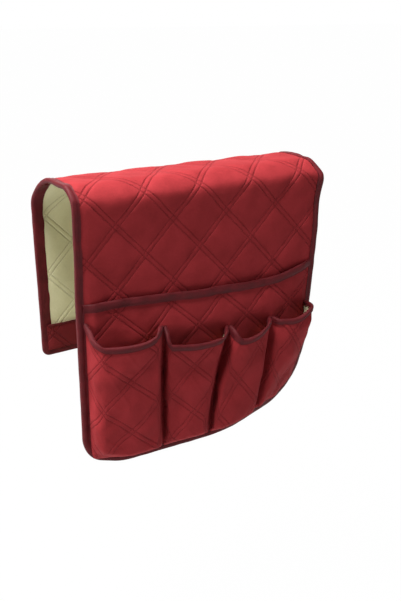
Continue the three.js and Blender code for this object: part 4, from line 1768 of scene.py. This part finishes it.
    def developed(self, station: Array, x: Array) -> Array:
        """Place across the flat cloth: x on the front, and the length round the corners past it.

        Args:
            station: Place round the pocket.
            x: Place along the arm.

        Returns:
            The distance across.
        """
        back = np.clip(2.0 - station, 0.0, 2.0) - np.clip(station - 3.0, 0.0, 2.0)
        depth = np.where(back > 0.0, self.left.depth, self.right.depth)
        return x - back * 0.5 * (depth + self.unrolled)

    def relief(self, station: Array, share: Array, x: Array, z: Array) -> Array:
        """Quilting, creases and folds of the wall, as a height outwards.

        Args:
            station: Place round the pocket.
            share: Share of the height.
            x: Place along the arm.
            z: Height.

        Returns:
            The height outwards.
        """
        across = self.developed(station, x)
        edge = self.foot_edge.at(share) * self.rim_edge.at(share)
        edge = edge * self.left_edge.at(station) * self.right_edge.at(station)
        puff = self.quilting.relief(across, z) - self.puff_middle
        wide = Crumple(self.seed, self.wave_length, 8).at(across, z)
        creases = Crumple(self.seed + 1, self.crease_length, 12).at(across, self.crease_stretch * z)
        slanted = across + self.fold_slant * z
        sharp = Crumple(self.seed + 2, self.fold_length, 6).at(slanted, self.fold_stretch * z)
        fold = np.exp(-self.fold_sharpness * np.abs(sharp)) - self.fold_middle
        return edge * (self.puff * puff + self.wave * wide + self.crease * creases + self.fold * fold)

    def wall(self, name: str, inset: float, thickness: float, step: float, lowest: float) -> bpy.types.Object:
        """Makes a cloth wall of the pocket.

        Args:
            name: Name of the piece.
            inset: How far its outer face lies inside the pocket's.
            thickness: Thickness of the cloth.
            step: Size of the grid.
            lowest: Share of the height at which it starts.

        Returns:
            The piece.
        """
        sides = [(side.depth - side.corner + 2.0, 1.5 * side.corner) for side in (self.left, self.right)]
        widths = (*sides[0], self.front_width, *reversed(sides[1]))
        stations = [np.array([0.0])]
        for k, width in enumerate(widths):
            stations.append(k + even_steps(0.0, 1.0, step / max(width, 3.0 * step))[1:])
        rows = even_steps(lowest, 1.0, step / self.height)

        def place(station: Array, share: Array, outside: Array) -> Array:
            """Points of the wall.

            Args:
                station: Place round the pocket.
                share: Share of the height.
                outside: 1 for the wall's outer face, 0 for its inner one.

            Returns:
                The points where they hang.
            """
            depth = inset + thickness * (1.0 - outside)
            x, z, height = self.points(station, share, depth)
            outwards = self.relief(station, share, x, z)
            own = np.minimum(station, LAST_STATION - station)
            forward = np.sin(QUARTER * np.clip(own - 1.0, 0.0, 1.0))
            side = np.where(station < MIDDLE_STATION, -1.0, 1.0)
            sideways = side * np.sqrt(1.0 - forward * forward)
            x = x + self.sideways * sideways * outwards
            return self.hang.laid(x, z, height + forward * outwards)

        def pattern(station: Array, share: Array) -> tuple[Array, Array]:
            """Place on the flat cloth, at a place round the pocket and a share of its height."""
            x, z, _ = self.points(station, share, 0.0 * share)
            return self.developed(station, x), z

        return lay_cloth(name, np.concatenate(stations), rows, place, pattern=pattern)

    @property
    def front_width(self) -> float:
        """Width of the front wall at the rim."""
        start = self.left_seam.top + self.left.lean_top + self.left.corner
        return self.right_seam.top + self.right.lean_top - self.right.corner - start

    def tape_section(self) -> tuple[Array, Array]:
        """The fold of the tape over the rim.

        Returns:
            Rows of rise and distance outwards, and the length round the fold.
        """
        inner = COVER_GAUGE + self.clearance + LINING_GAUGE
        w = self.tape_width
        outer_side = [(-w, 0.9), (-0.82 * w, 0.75), (-0.45 * w, 1.25), (0.3, 1.0)]
        inner_side = [(0.2, -inner - 0.9), (-0.5 * w, -inner - 1.0), (-w, -inner - 0.8)]
        section = smooth_curve([*outer_side, (1.1, -0.5 * inner), *inner_side], 21)
        return section, lengths_along(section)

    def flat_size(self) -> tuple[float, float, float]:
        """Size of the cloth laid flat.

        Returns:
            Its mean width, its mean height and the length of its rim.
        """
        station, share = np.meshgrid(np.linspace(0.0, LAST_STATION, 121), np.linspace(0.0, 1.0, 13))
        x, z, height = self.points(station, share, 0.0 * share)
        widths = np.hypot(np.diff(x), np.diff(height)).sum(axis=1)
        return float(widths.mean()), float((z[-1] - z[0]).mean()), float(widths[-1])

    def rim_tape(self) -> bpy.types.Object:
        """Makes the tape folded over the rim, which sags and ripples a little.

        Returns:
            The piece.
        """
        section, around_length = self.tape_section()
        ripple = Crumple(seed=self.seed + 5, length=11.0)
        left = even_steps(0.0, 2.0, self.gusset_step)[:-1]
        across = 2.0 + even_steps(0.0, 1.0, self.tape_step / self.front_width)[:-1]
        stations = np.concatenate([left, across, even_steps(3.0, LAST_STATION, self.gusset_step)])
        slopes = np.gradient(section, around_length, axis=0)

        def place(station: Array, around: Array, outside: Array) -> Array:
            """Points of the tape.

            Args:
                station: Place round the pocket.
                around: Length round the fold.
                outside: 1 for the tape's outer face, 0 for its inner one.

            Returns:
                The points where they hang.
            """
            rise, out = (np.interp(around, around_length, section[:, k]) for k in range(2))
            d_rise, d_out = (np.interp(around, around_length, slopes[:, k]) for k in range(2))
            depth = TAPE_GAUGE * (1.0 - outside)
            rise, out = rise - depth * d_out, out + depth * d_rise
            wavy = ripple.at(self.station_length * station, around)
            out = out + self.tape_ripple * wavy
            rise = rise + self.tape_wander * wavy * (rise < -2.0)
            share = 1.0 + rise / self.height
            x, z, height = self.points(station, share, -out)
            return self.hang.laid(x, z, height)

        def pattern(station: Array, around: Array) -> tuple[Array, Array]:
            """Place on the flat tape: across it, then along it."""
            x, _, _ = self.points(station, 1.0 + 0.0 * station, 0.0 * station)
            return around, self.developed(station, x)

        name = f"{self.name}_tape"
        return lay_cloth(name, stations, around_length, place, pattern=pattern, smooth_degrees=TAPE_DEGREES)

    def build(self) -> None:
        """Makes the pocket's three pieces."""
        width, tall, rim = self.flat_size()
        flat, tape_flat = (width * MM, tall * MM), (self.tape_section()[1][-1] * MM, rim * MM)
        within = COVER_GAUGE + self.clearance
        cloth = self.wall(self.name, 0.0, COVER_GAUGE, self.cloth_step, 0.0)
        inside = f"{self.name}_inside"
        lining = self.wall(inside, within, LINING_GAUGE, self.lining_step, self.lining_start)
        tape = self.rim_tape()
        rows = (
            (cloth, self.finish, "cover_cloth", "cloth", flat, "hung", "cover_front_half"),
            (lining, self.lining_finish, "lining_cloth", "lining", flat, "hung", self.name),
            (tape, self.tape_finish, "binding_tape", "binding", tape_flat, "folded", self.name),
        )
        for piece, finish, slot, node, size, held, rests_on in rows:
            piece.data.materials.append(finish)
            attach(piece, "front_panel")
            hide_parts(f"{self.name}_{node}")
        LOG.info("%s: %d faces", self.name, len(cloth.data.polygons))


POCKET_EDGE = 156.4
SEAM_SPACE = 1.5
LEFT_EDGE = Seam(-POCKET_EDGE, -POCKET_EDGE)
SEAM_1 = Seam(-64.0, -64.0)
SEAM_2 = Seam(27.0, 3.0, 1.6)
SEAM_3 = Seam(93.0, 75.0)
RIGHT_EDGE = Seam(POCKET_EDGE, POCKET_EDGE)
RIMS = (
    Rim((
        (0.0, 147.0), (0.6, 152.5), (1.1, 159.5), (1.6, 165.0), (2.0, 168.3), (2.3, 169.6),
        (2.6, 169.6), (2.85, 168.5), (3.05, 165.0), (3.5, 161.0), (4.2, 159.0), (5.0, 165.0),
    )),
    Rim((
        (0.0, 166.0), (0.8, 171.0), (1.5, 178.5), (2.0, 184.0), (2.35, 188.0), (2.7, 190.0),
        (2.9, 190.3), (3.05, 189.0), (3.5, 185.0), (4.2, 183.0), (5.0, 185.0),
    )),
    Rim((
        (0.0, 185.0), (0.8, 188.0), (1.4, 193.0), (1.9, 197.8), (2.2, 199.3), (2.45, 198.2),
        (2.7, 195.5), (2.9, 192.0), (3.1, 188.5), (4.0, 186.0), (5.0, 187.0),
    )),
    Rim((
        (0.0, 188.0), (1.0, 188.5), (2.0, 189.5), (2.3, 191.0), (2.6, 189.5),
        (2.85, 185.5), (3.1, 181.0), (4.0, 180.0), (5.0, 181.0),
    )),
)
SEAMS = (
    (LEFT_EDGE, SEAM_1.aside(-SEAM_SPACE)),
    (SEAM_1.aside(SEAM_SPACE), SEAM_2.aside(-SEAM_SPACE)),
    (SEAM_2.aside(SEAM_SPACE), SEAM_3.aside(-SEAM_SPACE)),
    (SEAM_3.aside(SEAM_SPACE), RIGHT_EDGE),
)
GUSSETS = (
    (Gusset(24.0, 0.5, 0.5, 9.0), Gusset(24.0, -16.0, -14.0, 5.0)),
    (Gusset(18.0, -5.0, -4.0, 5.0), Gusset(21.0, -14.0, -20.0, 5.0)),
    (Gusset(20.0, 1.0, -14.0, 6.0), Gusset(20.0, -13.0, -13.0, 5.0, 0.8)),
    (Gusset(15.0, 3.0, 1.0, 6.0, 0.9), Gusset(23.0, -4.0, -5.0, 8.0, 0.0)),
)
FOOT_INSETS = (6.5, 6.5, 6.5, 12.0)
SADDLE_QUILTING = Quilting(x=-116.0, run=-41.7)
MAGAZINE_QUILTING = Quilting(x=19.5, run=-140.5, width=70.0, height=66.0, seed=1)
POCKET_QUILTINGS = (
    Quilting(x=-117.0, run=-215.5, width=71.0, height=63.0, seed=2),
    Quilting(x=-32.0, run=-217.0, width=62.0, height=60.0, seed=3),
    Quilting(x=33.0, run=-251.0, width=62.0, height=80.0, seed=4),
    Quilting(x=117.5, run=-210.5, width=62.0, height=80.0, seed=5),
)


@dataclass(frozen=True)
class Colours:
    """The organizer's colours, as they are seen in plain light, except the hem facing's, which are painted
    shade.
    """

    cloth: Colour = (156, 47, 51)
    cloth_shade: Colour = (130, 36, 39)
    cloth_thread: Colour = (112, 28, 32)
    # The hem facing is the cover cloth painted darker: hem and hem_shade are painted shade.
    hem: Colour = (120, 36, 39)
    hem_shade: Colour = (98, 27, 30)
    tape: Colour = (98, 29, 34)
    tape_shade: Colour = (80, 22, 26)
    lining: Colour = (230, 226, 188)
    lining_shade: Colour = (210, 205, 165)
    lining_thread: Colour = (198, 191, 152)


@dataclass(frozen=True)
class Lamp:
    """A soft lamp: where it stands, what it points at, the width and height of its face, and its watts."""

    name: str
    place: tuple[float, float, float]
    aim: tuple[float, float, float]
    size: tuple[float, float]
    power: float

    def add(self) -> None:
        """Adds the lamp to the scene."""
        data = bpy.data.lights.new(self.name, "AREA")
        data.shape = "RECTANGLE"
        data.size, data.size_y = (side * MM for side in self.size)
        data.energy = self.power
        lamp = bpy.data.objects.new(self.name, data)
        bpy.context.scene.collection.objects.link(lamp)
        lamp.location = Vector(self.place) * MM
        lamp.rotation_euler = (Vector(self.aim) - Vector(self.place)).to_track_quat("-Z", "Y").to_euler()


LAMPS = (
    Lamp("lamp_above", (-450.0, 70.0, 1400.0), (0.0, 0.0, 0.0), (1200.0, 300.0), 68.0),
    Lamp("lamp_left", (-1500.0, 60.0, 250.0), (-80.0, 0.0, -180.0), (700.0, 700.0), 13.0),
    Lamp("lamp_front", (0.0, -1900.0, 300.0), (0.0, 0.0, -180.0), (900.0, 900.0), 3.6),
    Lamp("lamp_behind", (600.0, 1700.0, 100.0), (0.0, 0.0, -120.0), (1200.0, 1200.0), 10.0),
)
WHITE = (1.0, 1.0, 1.0, 1.0)
PALE_GREY = (0.62, 0.62, 0.62, 1.0)


@dataclass
class Studio:
    """Plain pale floor, soft lamps, and the camera at the photograph's angle."""

    floor_size: float = 60000.0
    floor_height: float = -620.0
    floor_roughness: float = 0.9
    floor_white: float = 0.992
    world_strength: float = 0.12
    camera_turn: float = -32.02
    camera_rise: float = 20.14
    camera_place: tuple[float, float, float] = (-481.17, -797.16, 180.04)
    lens: float = 48.03
    sensor: float = 36.0
    clip: tuple[float, float] = (10.0, 100000.0)

    def floor_finish(self) -> bpy.types.Material:
        """A pale surface that shows white to the camera but still holds a faint shadow.

        Returns:
            The material.
        """
        nodes = Nodes("pale_floor")
        path = nodes.add("ShaderNodeLightPath")
        seen = nodes.math("MAXIMUM", path.outputs["Is Camera Ray"], path.outputs["Is Glossy Ray"])
        seen = nodes.math("MAXIMUM", seen, path.outputs["Is Transmission Ray"])
        glow = nodes.add("ShaderNodeEmission", {"Color": WHITE, "Strength": 1.0})
        blended = nodes.add("ShaderNodeMixShader", {0: nodes.math("MULTIPLY", seen, self.floor_white)})
        nodes.tree.links.new(nodes.shader.outputs[0], blended.inputs[1])
        nodes.tree.links.new(glow.outputs[0], blended.inputs[2])
        nodes.shader.inputs["Base Color"].default_value = PALE_GREY
        nodes.shader.inputs["Roughness"].default_value = self.floor_roughness
        output = next(n for n in nodes.tree.nodes if n.type == "OUTPUT_MATERIAL")
        nodes.tree.links.new(blended.outputs[0], output.inputs["Surface"])
        return nodes.material

    def build(self) -> None:
        """Makes the floor, the world, the lamps and the camera."""
        deselect_all()
        place = (0.0, 0.0, self.floor_height * MM)
        bpy.ops.mesh.primitive_plane_add(size=self.floor_size * MM, location=place)
        floor = bpy.context.object
        floor.name = "floor"
        floor.data.materials.append(self.floor_finish())
        self.light_world()
        for lamp in LAMPS:
            lamp.add()
        self.place_camera()
        bpy.context.scene.view_settings.view_transform = "Standard"

    def light_world(self) -> None:
        """Makes the world white where the camera sees it, and dim as a light."""
        world = bpy.data.worlds.new("pale_world")
        bpy.context.scene.world = world
        world.use_nodes = True
        tree = world.node_tree
        background = next(n for n in tree.nodes if n.type == "BACKGROUND")
        path = tree.nodes.new("ShaderNodeLightPath")
        level = tree.nodes.new("ShaderNodeMapRange")
        seen = tree.nodes.new("ShaderNodeMath")
        seen.operation = "MAXIMUM"
        tree.links.new(path.outputs["Is Camera Ray"], seen.inputs[0])
        tree.links.new(path.outputs["Is Transmission Ray"], seen.inputs[1])
        tree.links.new(seen.outputs[0], level.inputs["Value"])
        level.inputs["To Min"].default_value = self.world_strength
        level.inputs["To Max"].default_value = 1.0
        background.inputs["Color"].default_value = WHITE
        tree.links.new(level.outputs["Result"], background.inputs["Strength"])

    def place_camera(self) -> None:
        """Puts the camera where the photograph was taken from."""
        turn, rise = math.radians(self.camera_turn), math.radians(self.camera_rise)
        back = Vector((math.sin(turn) * math.cos(rise), -math.cos(turn) * math.cos(rise), math.sin(rise)))
        data = bpy.data.cameras.new("camera")
        data.lens, data.sensor_width = self.lens, self.sensor
        data.clip_start, data.clip_end = (distance * MM for distance in self.clip)
        camera = bpy.data.objects.new("camera", data)
        bpy.context.scene.collection.objects.link(camera)
        camera.location = Vector(self.camera_place) * MM
        camera.rotation_euler = (-back).to_track_quat("-Z", "Y").to_euler()
        bpy.context.scene.camera = camera


def cover_finish(name: str, quilting: Quilting, colours: Colours, painted_groove_shade: float) -> bpy.types.Material:
    """The red cover cloth with its stitches.

    Args:
        name: Name of the material.
        quilting: The stitch lines.
        colours: The colours.
        painted_groove_shade: How much painted shade darkens the stitches' grooves.

    Returns:
        The material.
    """
    plain = (colours.cloth, colours.cloth_shade, colours.cloth_thread)
    return WovenFinish(name, *plain, quilting=quilting, painted_groove_shade=painted_groove_shade).material()


def hem_painted_shade_finish(colours: Colours) -> bpy.types.Material:
    """The cover cloth of the hem facing, painted darker: painted shade for the inside of the back flap."""
    plain = (colours.hem, colours.hem_shade, colours.tape_shade)
    return WovenFinish("painted_shade_hem_cloth", *plain, quilting=SADDLE_QUILTING).material()


def lining_finish(name: str, quilting: Quilting | None, colours: Colours) -> bpy.types.Material:
    """The beige lining cloth.

    Args:
        name: Name of the material.
        quilting: The stitch lines, or None for plain cloth.
        colours: The colours.

    Returns:
        The material.
    """
    plain = (colours.lining, colours.lining_shade, colours.lining_thread)
    look = {"pitch": 0.7, "sheen": 0.05, "sheen_colour": (255, 250, 235), "mottling": 0.1, "painted_groove_shade": 0.14}
    return WovenFinish(name, *plain, quilting=quilting, **look).material()


def main() -> None:
    """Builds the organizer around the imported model, and the studio around the organizer."""
    logging.basicConfig(level=logging.INFO, format="%(name)s: %(message)s")
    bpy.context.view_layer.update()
    saddle = Saddle.from_frame()
    outline = Outline(saddle)
    hang = Hang(saddle)
    colours = Colours()
    tape = TapeFinish("binding_tape", colours.tape, colours.tape_shade).material()
    finishes = {
        LayerName.COVER: cover_finish("quilted_cover", SADDLE_QUILTING, colours, 0.2),
        LayerName.LINING: lining_finish("quilted_lining", SADDLE_QUILTING, colours),
        LayerName.WADDING: WaddingFinish().material(),
    }
    Studio().build()
    QuiltedLayers(saddle, outline, hang, finishes, SADDLE_QUILTING).build()
    EdgeBinding(saddle, outline, hang, tape).build()
    HemFacing(saddle, hang, hem_painted_shade_finish(colours), tape, SADDLE_QUILTING).build()
    magazine = cover_finish("quilted_magazine_pocket", MAGAZINE_QUILTING, colours, 0.2)
    MagazinePocket(saddle, outline, hang, magazine, tape, MAGAZINE_QUILTING).build()
    plain_lining = lining_finish("plain_lining", None, colours)
    for k, quilting in enumerate(POCKET_QUILTINGS):
        name = f"pocket_{k + 1}"
        shape = (*SEAMS[k], *GUSSETS[k], RIMS[k], quilting)
        cloths = (cover_finish(f"quilted_{name}", quilting, colours, 0.12), plain_lining, tape)
        pocket = GussetedPocket(name, saddle, outline, hang, *shape, *cloths, 100 + 10 * k, FOOT_INSETS[k])
        pocket.build()


if __name__ == "__main__":
    main()
